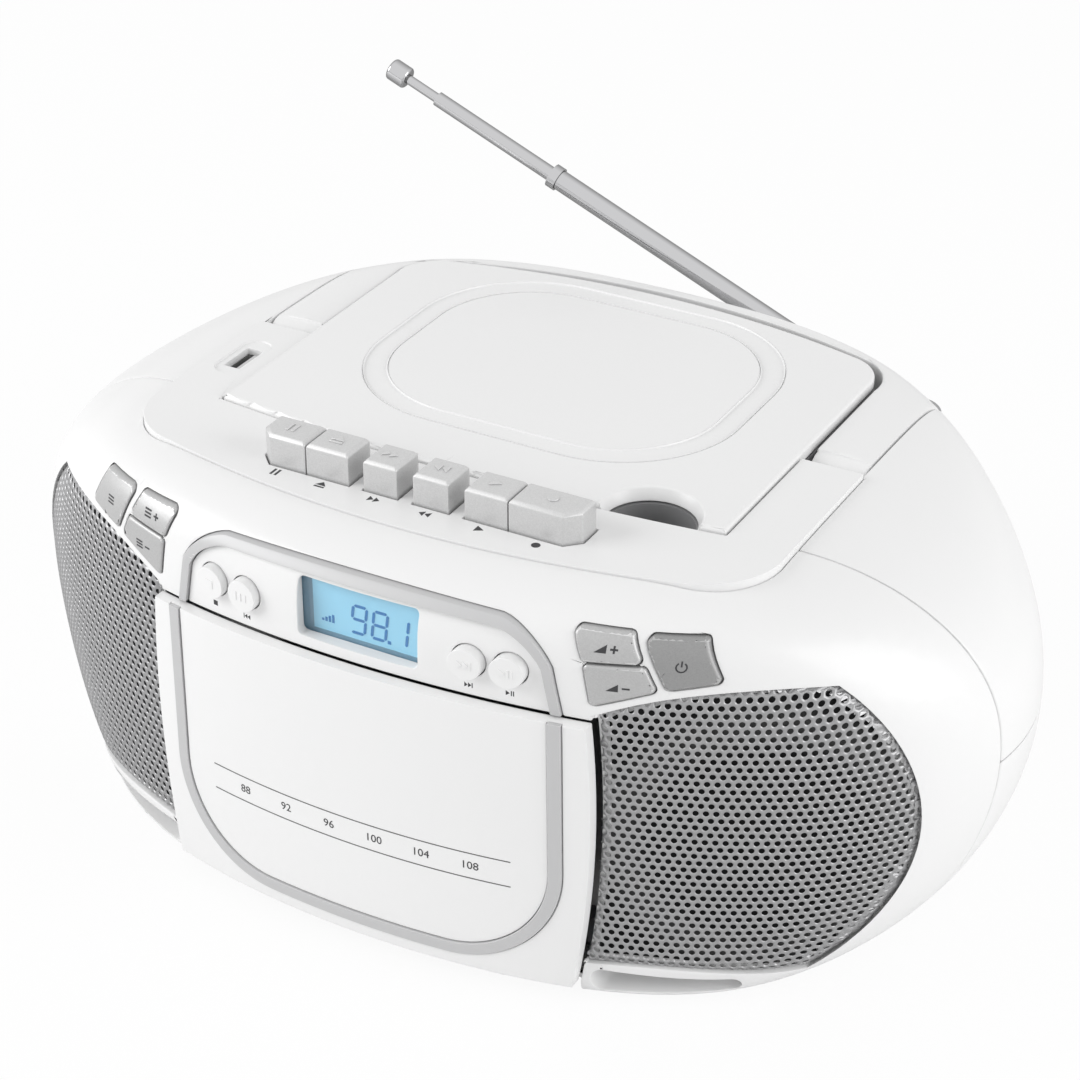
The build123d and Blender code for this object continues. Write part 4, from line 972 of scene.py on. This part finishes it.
class Signs:
    """Outlines of the plain signs, each within a square of side 1."""

    @staticmethod
    def bar(x: float, y: float, width: float, height: float) -> list[Point]:
        """Returns an upright bar about its middle."""
        right, up = width / 2, height / 2
        return [(x - right, y - up), (x + right, y - up), (x + right, y + up), (x - right, y + up)]

    @staticmethod
    def wedge(x: float, y: float, width: float, height: float) -> list[Point]:
        """Returns a triangle that points right, or left if its width is negative."""
        return [(x - width / 2, y - height / 2), (x + width / 2, y), (x - width / 2, y + height / 2)]

    @staticmethod
    def band(outer: float, inner: float, start: float, end: float, steps: int = 20) -> list[Point]:
        """Returns a band along an arc.

        Args:
            outer: Outer radius.
            inner: Inner radius, or 0 for a disc.
            start: First angle in degrees.
            end: Last angle in degrees.
            steps: Corners along the arc.

        Returns:
            Its corners.
        """
        angles = [math.radians(start + (end - start) * step / steps) for step in range(steps + 1)]
        rim = [(outer * math.cos(a), outer * math.sin(a)) for a in angles]
        if inner == 0.0:
            return rim[:-1]
        return rim + [(inner * math.cos(a), inner * math.sin(a)) for a in reversed(angles)]

    @classmethod
    def outlines(cls, glyph: Glyph) -> list[list[Point]]:
        """Gives the outlines that make up a sign.

        Args:
            glyph: The sign.

        Returns:
            One or more outlines.
        """
        shapes = {
            Glyph.PAUSE: [cls.bar(-0.2, 0, 0.2, 0.9), cls.bar(0.2, 0, 0.2, 0.9)],
            Glyph.EJECT: [[(-0.45, -0.1), (0.45, -0.1), (0, 0.45)], cls.bar(0, -0.32, 0.9, 0.18)],
            Glyph.STOP: [cls.bar(0, 0, 0.7, 0.7)],
            Glyph.FORWARD: [cls.wedge(-0.26, 0, 0.46, 0.7), cls.wedge(0.26, 0, 0.46, 0.7)],
            Glyph.BACK: [cls.wedge(-0.26, 0, -0.46, 0.7), cls.wedge(0.26, 0, -0.46, 0.7)],
            Glyph.PLAY: [cls.wedge(0, 0, 0.7, 0.8)],
            Glyph.RECORD: [cls.band(0.36, 0.0, 0, 360)],
            Glyph.LIST: [cls.bar(0, y, 0.9, 0.15) for y in (0.32, 0.0, -0.32)],
        }
        bars = [cls.bar(x, 0, 0.13, 0.7) for x in (0.18, 0.45)]
        shapes[Glyph.PLAY_PAUSE] = [cls.wedge(-0.28, 0, 0.5, 0.7), *bars]
        for skip, way in ((Glyph.SKIP_BACK, -1), (Glyph.SKIP_ON, 1)):
            wedges = [cls.wedge(way * x, 0, way * 0.42, 0.7) for x in (0.18, -0.3)]
            shapes[skip] = [cls.bar(way * 0.5, 0, 0.12, 0.7), *wedges]
        ring = [cls.band(0.5, 0.37, angle, angle + 29, 1) for angle in range(125, 415, 29)]
        shapes[Glyph.POWER] = [*ring, cls.bar(0, 0.3, 0.13, 0.52)]
        ramp = [(-1.0, -0.38), (0.05, -0.38), (0.05, 0.38)]
        store = [cls.bar(-0.45, y, 0.9, 0.17) for y in (0.32, 0.0, -0.32)]
        plus = [cls.bar(0.7, 0, 0.66, 0.17), *(cls.bar(0.7, y, 0.17, 0.25) for y in (0.21, -0.21))]
        shapes[Glyph.LOUDER] = [ramp, *plus]
        shapes[Glyph.SOFTER] = [ramp, plus[0]]
        shapes[Glyph.NEXT_STORE] = [*store, *plus]
        shapes[Glyph.LAST_STORE] = [*store, plus[0]]
        return shapes[glyph]

    @classmethod
    def model(cls, glyph: Glyph, size: float, place: Point, height: float, name: str) -> bpy.types.Object:
        """Models a sign, lying in the XY plane.

        Args:
            glyph: The sign.
            size: Side of its square in millimetres.
            place: Its middle in millimetres.
            height: Its thickness in millimetres.
            name: The piece's name.

        Returns:
            The sign.
        """
        plates = []
        for outline in cls.outlines(glyph):
            spread = [(place[0] + size * x, place[1] + size * y) for x, y in outline]
            plates.append(Bench.plate(spread, height))
        return Bench.join(plates, name)


class Outline:
    """A closed outline of arcs, in millimetres."""

    def __init__(self, start: Point) -> None:
        """Starts at a corner.

        Args:
            start: The first corner.
        """
        self.points = [start]

    def arc(self, through: Point, end: Point, steps: int = 100) -> "Outline":
        """Adds an arc through a point.

        Args:
            through: A point on the arc.
            end: Its last point.
            steps: How many points lie on it.

        Returns:
            The outline itself.
        """
        first, second, third = (complex(*point) for point in (self.points[-1], through, end))
        turn = (third - first) / (second - first)
        centre = first + (second - first) * (turn - abs(turn) ** 2) / (turn - turn.conjugate())
        sweep = np.angle((third - centre) / (first - centre))
        half = np.angle((second - centre) / (first - centre))
        if half * sweep < 0:
            sweep -= math.copysign(2 * math.pi, sweep)
        for step in range(1, steps + 1):
            point = centre + (first - centre) * np.exp(1j * sweep * step / steps)
            self.points.append((point.real, point.imag))
        return self

    def inside(self, places: np.ndarray) -> np.ndarray:
        """Tells which places lie inside.

        Args:
            places: One row of X and Y each.

        Returns:
            True for each place inside.
        """
        within = np.zeros(len(places), dtype=bool)
        x, y = places.T
        for (x0, y0), (x1, y1) in zip(self.points, self.points[1:]):
            crosses = (y0 > y) != (y1 > y)
            if y0 != y1:
                within ^= crosses & (x < (x1 - x0) * (y - y0) / (y1 - y0) + x0)
        return within

    def nearest(self, places: np.ndarray) -> np.ndarray:
        """Finds the nearest point of the outline.

        Args:
            places: One row of X and Y each.

        Returns:
            One point of the outline for each place.
        """
        rim = np.array(self.points)
        found = [((rim - place) ** 2).sum(axis=1).argmin() for place in places]
        return rim[found]


@dataclass
class SpeakerGrille(Assembly):
    """One speaker grille: a punched and bent metal sheet, with black cloth behind it.

    Attributes:
        side: Left or right.
        pitch: Distance of the holes in millimetres.
        hole: Diameter of a hole.
        lip: Diameter at which the metal starts to roll into the hole.
        roll: Depth of that roll.
        border: Width and depth of the border that is rolled back.
        sunk: How far the sheet lies behind the cabinet's front.
        thick: Thickness of the sheet.
        cloth_sunk: How far the cloth lies behind the cabinet's front.
        cloth_thick: Thickness of the cloth.
        node_sunk: How far the front of the grille's solid lies behind it.
        speaker: Place of the speaker's middle across and up.
        field_across: Where the untrimmed field starts and ends across.
        field_foot: Height of the lowest row of holes.
        row_pairs: Pairs of staggered rows in the untrimmed field.
    """

    side: Side
    pitch: float = 2.75
    hole: float = 1.72
    lip: float = 2.3
    roll: float = 0.32
    border: Point = (3.2, 1.1)
    sunk: float = 0.3
    thick: float = 0.7
    cloth_sunk: float = 1.95
    cloth_thick: float = 0.15
    node_sunk: float = 1.0
    speaker: Point = (111.0, 56.0)
    field_across: Point = (64.0, 151.0)
    field_foot: float = 5.0
    row_pairs: int = 22

    def outline(self) -> Outline:
        """Returns the sheet's outline, as on the right side."""
        rim = Outline((70.6, 95.4)).arc((97.0, 104.2), (125.2, 104.2)).arc((145.3, 58.0), (121.0, 9.2))
        return rim.arc((97.0, 12.9), (68.4, 12.8)).arc((71.9, 62.0), (70.6, 95.4))

    def unroll(self) -> tuple[np.ndarray, np.ndarray]:
        """Measures the bent front from its inner end.

        Returns:
            Places across, and the length along the sheet up to each.
        """
        across = np.linspace(*self.field_across, 500)
        back = SKIN.front(across, np.full_like(across, self.speaker[1]), np.full_like(across, -self.sunk))
        along = np.concatenate([[0.0], np.cumsum(np.hypot(np.diff(across), np.diff(back)))])
        return across, along

    def punched_field(self) -> bpy.types.Object:
        """Punches one hole, rolls its edge and repeats it in staggered rows.

        Returns:
            The flat field, larger than the grille.
        """
        bpy.ops.object.select_all(action="DESELECT")
        bpy.ops.mesh.primitive_circle_add(vertices=12, radius=self.hole / 2 * MM)
        cell = bpy.context.object
        with Bench.editing(cell, Element.EDGE, everything=True):
            bpy.ops.transform.translate(value=(0, 0, -self.roll * MM))
            for wide, narrow, rise in ((self.lip, self.hole, self.roll), (self.pitch, self.lip, 0.0)):
                bpy.ops.mesh.extrude_edges_move(TRANSFORM_OT_translate={"value": (0, 0, rise * MM)})
                grow = wide / narrow
                bpy.ops.transform.resize(value=(grow, grow, 1), center_override=(0, 0, 0))
        corner = 2 / math.sqrt(3)

        def square_up(places: np.ndarray) -> np.ndarray:
            """Returns the places with the outer ring drawn out to a hexagon."""
            radius = np.hypot(places[:, 0], places[:, 1])
            turn = np.degrees(np.arctan2(places[:, 1], places[:, 0]))
            odd = (np.round(turn / 30).astype(int) % 2 == 1) & (radius > 0.45 * self.pitch)
            places[odd, :2] *= corner
            return places

        Bench.reshape(cell, square_up)
        length = self.unroll()[1][-1]
        row = self.pitch * math.sqrt(3) / 2
        steps = (
            (self.pitch / 2, row, 2),
            (self.pitch, 0, int(length / self.pitch)),
            (0, 2 * row, self.row_pairs),
        )
        for right, up, count in steps:
            Bench.modify(
                cell,
                "ARRAY",
                count=count,
                use_relative_offset=False,
                use_constant_offset=True,
                constant_offset_displace=(right * MM, up * MM, 0),
                use_merge_vertices=True,
                merge_threshold=0.02 * MM,
            )
        Bench.put(cell, Matrix.Translation((0, self.field_foot * MM, 0)))
        return cell

    def trim(self, sheet: bpy.types.Object) -> None:
        """Bends a flat field to the front's length and trims it to the outline.

        Args:
            sheet: The flat field; its X is the length along the sheet.
        """
        across, along = self.unroll()
        rim = self.outline()

        def shorten(flat: np.ndarray) -> np.ndarray:
            """Returns the places with the length along the sheet turned to the place across."""
            return np.column_stack([np.interp(flat[:, 0], along, across), flat[:, 1:]])

        Bench.reshape(sheet, shorten)
        count = len(sheet.data.vertices)
        places = np.empty(count * 3)
        sheet.data.vertices.foreach_get("co", places)
        within = rim.inside(places.reshape(count, 3)[:, :2] / MM)
        kept = within.copy()
        for face in sheet.data.polygons:
            corners = list(face.vertices)
            if within[corners].any():
                kept[corners] = True
        with Bench.editing(sheet, Element.VERT):
            Bench.pick(sheet, Element.VERT, lambda vertex: not kept[vertex.index])
            bpy.ops.mesh.delete(type="VERT")

        def draw_in(spots: np.ndarray) -> np.ndarray:
            """Returns the places, with those outside drawn to the outline."""
            outside = ~rim.inside(spots[:, :2])
            spots[outside, :2] = rim.nearest(spots[outside, :2])
            return spots

        Bench.reshape(sheet, draw_in)
        with Bench.editing(sheet, Element.VERT, everything=True):
            bpy.ops.mesh.remove_doubles(threshold=0.02 * MM)
            bpy.ops.mesh.dissolve_degenerate(threshold=0.01 * MM)
        sign = self.side.value
        Bench.reshape(sheet, lambda spots: spots * (sign, 1, 1))

    def bend(self, sheet: bpy.types.Object, sunk: float, thick: float) -> None:
        """Lays a trimmed sheet on the front and gives it its thickness.

        Args:
            sheet: The trimmed sheet.
            sunk: How far behind the front it lies.
            thick: Its thickness in millimetres.
        """
        rim = self.outline()
        wide, deep = self.border

        def roll_back(spots: np.ndarray) -> np.ndarray:
            """Returns the places, with the border rolled back."""
            flat = np.column_stack([np.abs(spots[:, 0]), spots[:, 1]])
            gap = np.linalg.norm(flat - rim.nearest(flat), axis=1)
            spots[:, 2] -= deep * np.clip(1 - gap / wide, 0.0, 1.0) ** 2
            return spots

        Bench.reshape(sheet, roll_back)
        tree = Bench.feeler(bpy.data.objects[f"speaker_grille_{self.side.word}"])

        def lay(spots: np.ndarray) -> np.ndarray:
            """Returns the places before the solid's front, along its normal."""
            for spot in spots:
                x, z, height = spot
                start = Vector((x * MM, -FAR, z * MM))
                place, normal, _, _ = tree.ray_cast(start, Vector((0.0, 1.0, 0.0)))
                if place is None:
                    guess = SKIN.front(np.array([x]), np.array([z]), np.array([-self.node_sunk]))[0]
                    place = tree.find_nearest(Vector((x, guess, z)) * MM)[0]
                    normal = Vector((0.0, -1.0, 0.0))
                spot[:] = place / MM + normal * (self.node_sunk - sunk + height)
            return spots

        Bench.reshape(sheet, lay)
        facing = sum(face.normal.y * face.area for face in sheet.data.polygons)
        if facing > 0:
            with Bench.editing(sheet, Element.FACE, everything=True):
                bpy.ops.mesh.flip_normals()
        Bench.modify(sheet, "SOLIDIFY", thickness=thick * MM, offset=-1.0)

    def build(self) -> None:
        """Builds the sheet and the cloth."""
        sheet = self.punched_field()
        sheet.name = f"speaker_grille_{self.side.word}_punched"
        self.trim(sheet)
        self.bend(sheet, self.sunk, self.thick)
        Bench.smooth(sheet, 50.0)
        self.settle(sheet, "cabinet", Finishes.GRILLE, "grille_metal", [f"speaker_grille_{self.side.word}"])
        length = float(self.unroll()[1][-1])
        cloth = Bench.lattice((0.0, 6.0), (length, 106.0), (48, 48))
        cloth.name = f"speaker_cloth_{self.side.word}"
        self.trim(cloth)
        self.bend(cloth, self.cloth_sunk, self.cloth_thick)
        Bench.smooth(cloth)
        across_middle = self.side.value * self.speaker[0]
        front = float(SKIN.front(np.array([across_middle]), np.array([self.speaker[1]]), np.array([-2.0]))[0])
        # The cloth's finish carries a ring of painted light over the speaker's rim.
        weave = ClothFinish(
            f"speaker_cloth_{self.side.word}",
            (0.012, 0.012, 0.013),
            0.85,
            grain=3200.0,
            relief=0.04 * MM,
            mottle=0.2,
            centre=(across_middle * MM, front * MM, self.speaker[1] * MM),
        )
        self.settle(cloth, "cabinet", weave, "speaker_black")


@dataclass
class KeyBank(Assembly):
    """The six piano keys of the cassette drive, with raised signs and signs printed before them.

    Attributes:
        signs: Sign of each key.
        rounding: Width of the rounded edges in millimetres.
        raised: Height of the raised signs.
        size: Size of the raised signs.
        print_size: Size of the printed signs.
        print_gap: How far before the key the printed sign lies.
        sign_back: How far behind the key's middle its raised sign lies.
        sign_edge: Width of the raised sign's rounded edge.
    """

    signs: dict[str, Glyph] = field(
        default_factory=lambda: {
            "key_pause": Glyph.PAUSE,
            "key_stop_eject": Glyph.EJECT,
            "key_fast_forward": Glyph.FORWARD,
            "key_rewind": Glyph.BACK,
            "key_play": Glyph.PLAY,
            "key_record": Glyph.RECORD,
        }
    )
    rounding: float = 0.35
    raised: float = 0.35
    size: float = 4.6
    print_size: float = 3.6
    print_gap: float = 3.4
    sign_back: float = 0.4
    sign_edge: float = 0.12

    def build(self) -> None:
        """Builds the keys, their signs and the prints."""
        prints = []
        deck_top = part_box("deck_panel")[1].z / MM
        for node, glyph in self.signs.items():
            low, high = (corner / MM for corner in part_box(node))
            key = Bench.cast(node, node + "_cap")
            Bench.round_edges(key, self.rounding * MM)
            Bench.smooth(key)
            self.settle(key, node, Finishes.SILVER_KEY, "silver_key", [node])
            middle = ((low.x + high.x) / 2, (low.y + high.y) / 2 + self.sign_back)
            sign = Signs.model(glyph, self.size, middle, self.raised, node + "_sign")
            Bench.round_edges(sign, self.sign_edge * MM)
            Bench.lay_on(sign, key, above=True)
            Bench.smooth(sign)
            self.settle(sign, node, Finishes.SILVER_KEY, "silver_key")
            place = (middle[0], low.y - self.print_gap)
            prints.append(Signs.model(glyph, self.print_size, place, PRINT_THICK, node + "_print"))
        printed = Bench.join(prints, "deck_key_prints")
        Bench.put(printed, Matrix.Translation((0, 0, deck_top * MM)))
        self.settle(printed, "cabinet", Finishes.PRINT, "dark_plastic")


@dataclass
class ButtonSet(Assembly):
    """Round white buttons beside the display and shaped silver buttons on the brow.

    Attributes:
        round_signs: Sign raised on each round button.
        brow_signs: Sign printed on each shaped button.
        round_edge: Width of a round button's rounded edge in millimetres.
        brow_edge: The same on a shaped button.
        round_size: Size and height of the sign on a round button.
        brow_size: The same on a shaped button.
        label_size: Size of the print below a round button.
        label_gap: How far below the button it lies.
    """

    round_signs: dict[str, Glyph] = field(
        default_factory=lambda: {
            "button_stop": Glyph.STOP,
            "button_skip_back": Glyph.SKIP_BACK,
            "button_skip_on": Glyph.SKIP_ON,
            "button_pair": Glyph.PLAY_PAUSE,
        }
    )
    brow_signs: dict[str, Glyph] = field(
        default_factory=lambda: {
            "button_program": Glyph.LIST,
            "button_memory_up": Glyph.NEXT_STORE,
            "button_memory_down": Glyph.LAST_STORE,
            "button_volume_up": Glyph.LOUDER,
            "button_volume_down": Glyph.SOFTER,
            "button_power": Glyph.POWER,
        }
    )
    round_edge: float = 0.25
    brow_edge: float = 0.8
    round_size: Point = (3.6, 0.2)
    brow_size: Point = (3.0, 0.05)
    label_size: float = 2.2
    label_gap: float = 2.8

    def build(self) -> None:
        """Builds all buttons with their signs."""
        for node, glyph in self.round_signs.items():
            cap = self.cap(node, self.round_edge, Finishes.WHITE_CAP, "white_button")
            self.sign(node, glyph, self.round_size, cap, Finishes.WHITE_CAP)
        for node, glyph in self.brow_signs.items():
            finish = Finishes.DARK_BUTTON if glyph is Glyph.POWER else Finishes.SILVER_BUTTON
            cap = self.cap(node, self.brow_edge, finish, "silver_button")
            self.sign(node, glyph, self.brow_size, cap, Finishes.PRINT)
        self.label_round()

    def cap(self, node: str, rounding: float, finish: Finish, slot: str) -> bpy.types.Object:
        """Makes the cap of one button.

        Args:
            node: The button's node and body.
            rounding: Width of its rounded edge in millimetres.
            finish: Its finish.
            slot: Its material slot.

        Returns:
            The cap.
        """
        cap = Bench.cast(node, node + "_cap")
        Bench.round_edges(cap, rounding * MM, segments=3)
        Bench.smooth(cap)
        self.settle(cap, node, finish, slot, [node])
        return cap

    def sign(self, node: str, glyph: Glyph, size: Point, cap: bpy.types.Object, finish: Finish) -> None:
        """Lays a sign on a button.

        Args:
            node: The button's node and body.
            glyph: The sign.
            size: Its size and height in millimetres.
            cap: The button's cap.
            finish: Its finish.
        """
        low, high = (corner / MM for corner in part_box(node))
        middle = ((low.x + high.x) / 2, (low.z + high.z) / 2)
        sign = Signs.model(glyph, size[0], middle, size[1], node + "_sign")
        Bench.lay_on(sign, cap)
        Bench.smooth(sign)
        self.settle(sign, node, finish, "dark_plastic" if finish is Finishes.PRINT else "white_button")

    def label_round(self) -> None:
        """Prints a small plain sign below each round button."""
        prints = []
        for node, glyph in self.round_signs.items():
            low, high = (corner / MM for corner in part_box(node))
            place = ((low.x + high.x) / 2, low.z - self.label_gap)
            prints.append(Signs.model(glyph, self.label_size, place, PRINT_THICK, node + "_print"))
        printed = Bench.join(prints, "round_button_prints")
        Bench.lay_on(printed, bpy.data.objects["display_panel_moulding"])
        self.settle(printed, "cabinet", Finishes.PRINT, "dark_plastic")


@dataclass
class DisplayUnit(Assembly):
    """The lit display: pane, blue face with its darker edge of unlit border and painted shade, and slanted
    bar digits.

    Attributes:
        digits: The shown number; a dot may follow a digit.
        digit_size: Width and height of a digit in millimetres.
        advance: Distance from digit to digit.
        stroke: Width of a bar.
        slant: How far a digit leans, as a share of its height.
        pane_thick: Thickness of the pane.
        sheet: Thickness of the printed layers.
        edge: Width of the darker edge at the left and at the foot: the display's unlit border, with painted
            shade of the window's recess.
        number_at: Place of the first digit's middle from the window's middle.
        bar_gap: Half of the gap between two bars.
        bars: Bars of each digit that the number needs.
    """

    digits: str = "98.1"
    digit_size: Point = (4.3, 8.6)
    advance: float = 6.6
    stroke: float = 0.85
    slant: float = 0.12
    pane_thick: float = 0.35
    sheet: float = 0.12
    edge: Point = (3.5, 1.6)
    number_at: Point = (-1.6, -1.6)
    bar_gap: float = 0.22
    bars: dict[str, str] = field(default_factory=lambda: {"1": "bc", "8": "abcdefg", "9": "abcdfg"})

    def bar(self, letter: str) -> list[Point]:
        """Gives the outline of one bar of a digit.

        Args:
            letter: The bar, a at the top and on clockwise, g in the middle.

        Returns:
            Its six corners about the digit's middle.
        """
        wide, tall = self.digit_size
        half = self.stroke / 2
        spots = {
            "a": (0, tall / 2, True),
            "b": (wide / 2, tall / 4, False),
            "c": (wide / 2, -tall / 4, False),
            "d": (0, -tall / 2, True),
            "e": (-wide / 2, -tall / 4, False),
            "f": (-wide / 2, tall / 4, False),
            "g": (0, 0, True),
        }
        x, y, level = spots[letter]
        reach = (wide if level else tall / 2) / 2 - self.bar_gap
        flat = reach - half
        run = [(-reach, 0), (-flat, -half), (flat, -half), (reach, 0), (flat, half), (-flat, half)]
        turned = run if level else [(-b, a) for a, b in run]
        return [(x + a + self.slant * (y + b), y + b) for a, b in turned]

    def build(self) -> None:
        """Builds all layers of the display."""
        low, high = (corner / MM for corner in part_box("lcd_window"))
        middle = ((low.x + high.x) / 2, (low.z + high.z) / 2)
        wide, tall = high.x - low.x - 0.2, high.z - low.z - 0.2
        back = high.y
        window = Signs.bar(*middle, wide, tall)
        pane = self.layer(window, self.pane_thick, low.y + self.pane_thick, "display_pane")
        Bench.round_edges(pane, 0.08 * MM)
        self.settle(pane, "cabinet", Finishes.PANE, "clear_window", ["lcd_window"])
        face = self.layer(window, 2 * self.sheet, back, "display_face")
        Bench.round_edges(face, 0.05 * MM)
        self.settle(face, "cabinet", Finishes.BACKLIGHT, "display_blue")
        top = back - 2 * self.sheet
        left, foot = middle[0] - wide / 2, middle[1] - tall / 2
        # Painted shade: the darker strip at the left and at the foot stands in for the recess wall's shade
        # over the display's unlit border.
        corners = [
            (left, foot),
            (left + wide, foot),
            (left + wide, foot + self.edge[1]),
            (left + self.edge[0], foot + self.edge[1]),
            (left + self.edge[0], foot + tall),
            (left, foot + tall),
        ]
        rim = self.layer(corners, self.sheet / 2, top, "display_edge_shade")
        self.settle(rim, "cabinet", Finishes.LCD_EDGE, "display_blue")
        self.show_number(middle, top)

    def layer(self, outline: Sequence[Point], thick: float, back: float, name: str) -> bpy.types.Object:
        """Models a flat layer that stands upright behind the window.

        Args:
            outline: Its corners across and up in millimetres.
            thick: Its thickness.
            back: Y of its back face.
            name: The piece's name.

        Returns:
            The layer.
        """
        plate = Bench.plate(outline, thick)
        plate.name = name
        Bench.put(plate, Matrix.Translation((0, back * MM, 0)) @ Matrix.Rotation(math.radians(90), 4, "X"))
        return plate

    def show_number(self, middle: Point, back: float) -> None:
        """Sets the lit digits and a small strength sign.

        Args:
            middle: Middle of the window across and up.
            back: Y of the face that they lie on.
        """
        lit = []
        x, y = middle[0] + self.number_at[0], middle[1] + self.number_at[1]
        for sign in self.digits:
            if sign == ".":
                spot = (x - self.advance / 2 - 0.4, y - self.digit_size[1] / 2)
                lit.append(self.layer(Signs.bar(*spot, 1.0, 1.0), self.sheet, back, "display_dot"))
                continue
            for letter in self.bars[sign]:
                outline = [(x + a, y + b) for a, b in self.bar(letter)]
                lit.append(self.layer(outline, self.sheet, back, "display_bar"))
            x += self.advance
        for step in range(4):
            tall = 0.7 + 0.6 * step
            spot = (middle[0] - 13.2 + 1.1 * step, middle[1] - 5.0 + tall / 2)
            lit.append(self.layer(Signs.bar(*spot, 0.7, tall), self.sheet, back, "display_strength"))
        number = Bench.join(lit, "display_number")
        self.settle(number, "cabinet", Finishes.LCD_DIGIT, "display_blue")


@dataclass
class DoorPrint(Assembly):
    """Two fine lines on the cassette door, with plain dial numbers between them.

    Attributes:
        line_heights: Heights of the lines in millimetres.
        half_length: Half of a line's length.
        line_width: Width of a line.
        numbers: The dial's numbers.
        number_size: Height of the numbers.
        proud: How far the door stands before the front.
        thick: Thickness of the print.
    """

    line_heights: Point = (45.4, 37.0)
    half_length: float = 48.8
    line_width: float = 0.34
    numbers: tuple[int, ...] = (88, 92, 96, 100, 104, 108)
    number_size: float = 3.6
    proud: float = 3.5
    thick: float = 0.05

    def build(self) -> None:
        """Prints the lines and the numbers."""
        lines = []
        for height in self.line_heights:
            low = (-self.half_length, height - self.line_width / 2)
            line = Bench.lattice(low, (self.half_length, height + self.line_width / 2), (60, 1))
            Bench.modify(line, "SOLIDIFY", thickness=self.thick * MM, offset=1.0)
            lines.append(line)
        ruled = Bench.join(lines, "door_lines")
        SKIN.drape(ruled, self.proud)
        self.settle(ruled, "door", Finishes.GREY_PRINT, "dark_plastic")
        middle = sum(self.line_heights) / 2
        step = 2 * self.half_length / (len(self.numbers) + 0.6)
        first = -step * (len(self.numbers) - 1) / 2
        row = [
            Bench.number(str(number), self.number_size, (first + step * place, middle), self.thick)
            for place, number in enumerate(self.numbers)
        ]
        dial = Bench.join(row, "door_numbers")
        SKIN.drape(dial, self.proud)
        self.settle(dial, "door", Finishes.PRINT, "dark_plastic")


@dataclass
class Studio:
    """Pale floor, soft lamps and the camera.

    Attributes:
        camera_place: Camera position in metres.
        azimuth: Degrees that the camera stands round to the right.
        elevation: Degrees that the camera stands above.
        lens: Focal length in millimetres on a 36 mm square sensor.
    """

    camera_place: Colour = (0.3504, -0.6303, 0.5059)
    azimuth: float = 28.943
    elevation: float = 30.5
    lens: float = 92.743

    def build(self) -> None:
        """Builds the floor, the lamps, the world and the camera."""
        self.lay_floor()
        self.light_world()
        self.hang_lamps()
        self.stand_camera()
        bpy.context.scene.view_settings.view_transform = "Standard"

    def lay_floor(self) -> None:
        """Lays the pale floor, which keeps the soft shadow of the stereo."""
        bpy.ops.object.select_all(action="DESELECT")
        bpy.ops.mesh.primitive_circle_add(vertices=96, radius=6.0, fill_type="NGON", location=(0, 0, -0.0002))
        floor = bpy.context.object
        floor.name = "studio_floor"
        Bench.only(floor)
        bpy.ops.object.transform_apply(location=True)
        material = bpy.data.materials.new("studio_floor_paint")
        material.use_nodes = True
        sketch = ShaderSketch(material.node_tree)
        ray = sketch.node("ShaderNodeLightPath")
        diffuse = sketch.node("ShaderNodeBsdfDiffuse", {"Color": (0.9, 0.9, 0.9, 1.0)})
        white = sketch.node("ShaderNodeEmission", {"Color": (1.0, 1.0, 1.0, 1.0), "Strength": 1.0})
        seen = sketch.node("ShaderNodeMath", {0: ray.outputs["Is Camera Ray"], 1: 0.93}, operation="MULTIPLY")
        shares = {0: seen.outputs[0], 1: diffuse.outputs[0], 2: white.outputs[0]}
        mix = sketch.node("ShaderNodeMixShader", shares)
        sketch.node("ShaderNodeOutputMaterial", {"Surface": mix.outputs[0]})
        floor.data.materials.append(material)

    def light_world(self) -> None:
        """Makes a white surround that metal shows too, and a dimmer sky light."""
        world = bpy.data.worlds.new("studio_surround")
        bpy.context.scene.world = world
        world.use_nodes = True
        sketch = ShaderSketch(world.node_tree)
        ray = sketch.node("ShaderNodeLightPath")
        shown = ray.outputs["Is Camera Ray"]
        for other in ("Is Transmission Ray", "Is Glossy Ray"):
            either = sketch.node("ShaderNodeMath", {0: shown, 1: ray.outputs[other]}, operation="MAXIMUM")
            shown = either.outputs[0]
        strength = sketch.spread(shown, 0.66, 1.0)
        light = sketch.node("ShaderNodeBackground", {"Color": (1.0, 1.0, 1.0, 1.0), "Strength": strength})
        sketch.node("ShaderNodeOutputWorld", {"Surface": light.outputs[0]})

    def hang_lamps(self) -> None:
        """Hangs the soft boxes: one before the left corner, one beside the right end."""
        lamps = {
            "key_softbox": ((-1.1, -0.8, 0.75), 0.9, 11.0),
            "side_softbox": ((1.2, 0.0, 0.5), 0.8, 6.0),
        }
        for name, (place, size, power) in lamps.items():
            data = bpy.data.lights.new(name, "AREA")
            data.size = size
            data.energy = power
            lamp = bpy.data.objects.new(name, data)
            lamp.location = place
            lamp.rotation_euler = (Vector((0, 0, 0.06)) - Vector(place)).to_track_quat("-Z", "Y").to_euler()
            bpy.context.scene.collection.objects.link(lamp)

    def stand_camera(self) -> None:
        """Stands the camera where the photograph was taken from."""
        data = bpy.data.cameras.new("studio_camera")
        data.lens = self.lens
        data.sensor_width = 36.0
        data.sensor_height = 36.0
        data.sensor_fit = "HORIZONTAL"
        camera = bpy.data.objects.new("studio_camera", data)
        camera.location = self.camera_place
        camera.rotation_euler = (math.radians(90 - self.elevation), 0.0, math.radians(self.azimuth))
        bpy.context.scene.collection.objects.link(camera)
        bpy.context.scene.camera = camera


def main() -> None:
    """Builds the dressed stereo and the studio around the loaded frame."""
    logging.basicConfig(level=logging.INFO, format="%(message)s")
    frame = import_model()
    Castings(frame).build()
    for side in Side:
        SpeakerGrille(side).build()
    KeyBank().build()
    ButtonSet().build()
    DisplayUnit().build()
    DoorPrint().build()
    Studio().build()


if __name__ == "__main__":
    main()
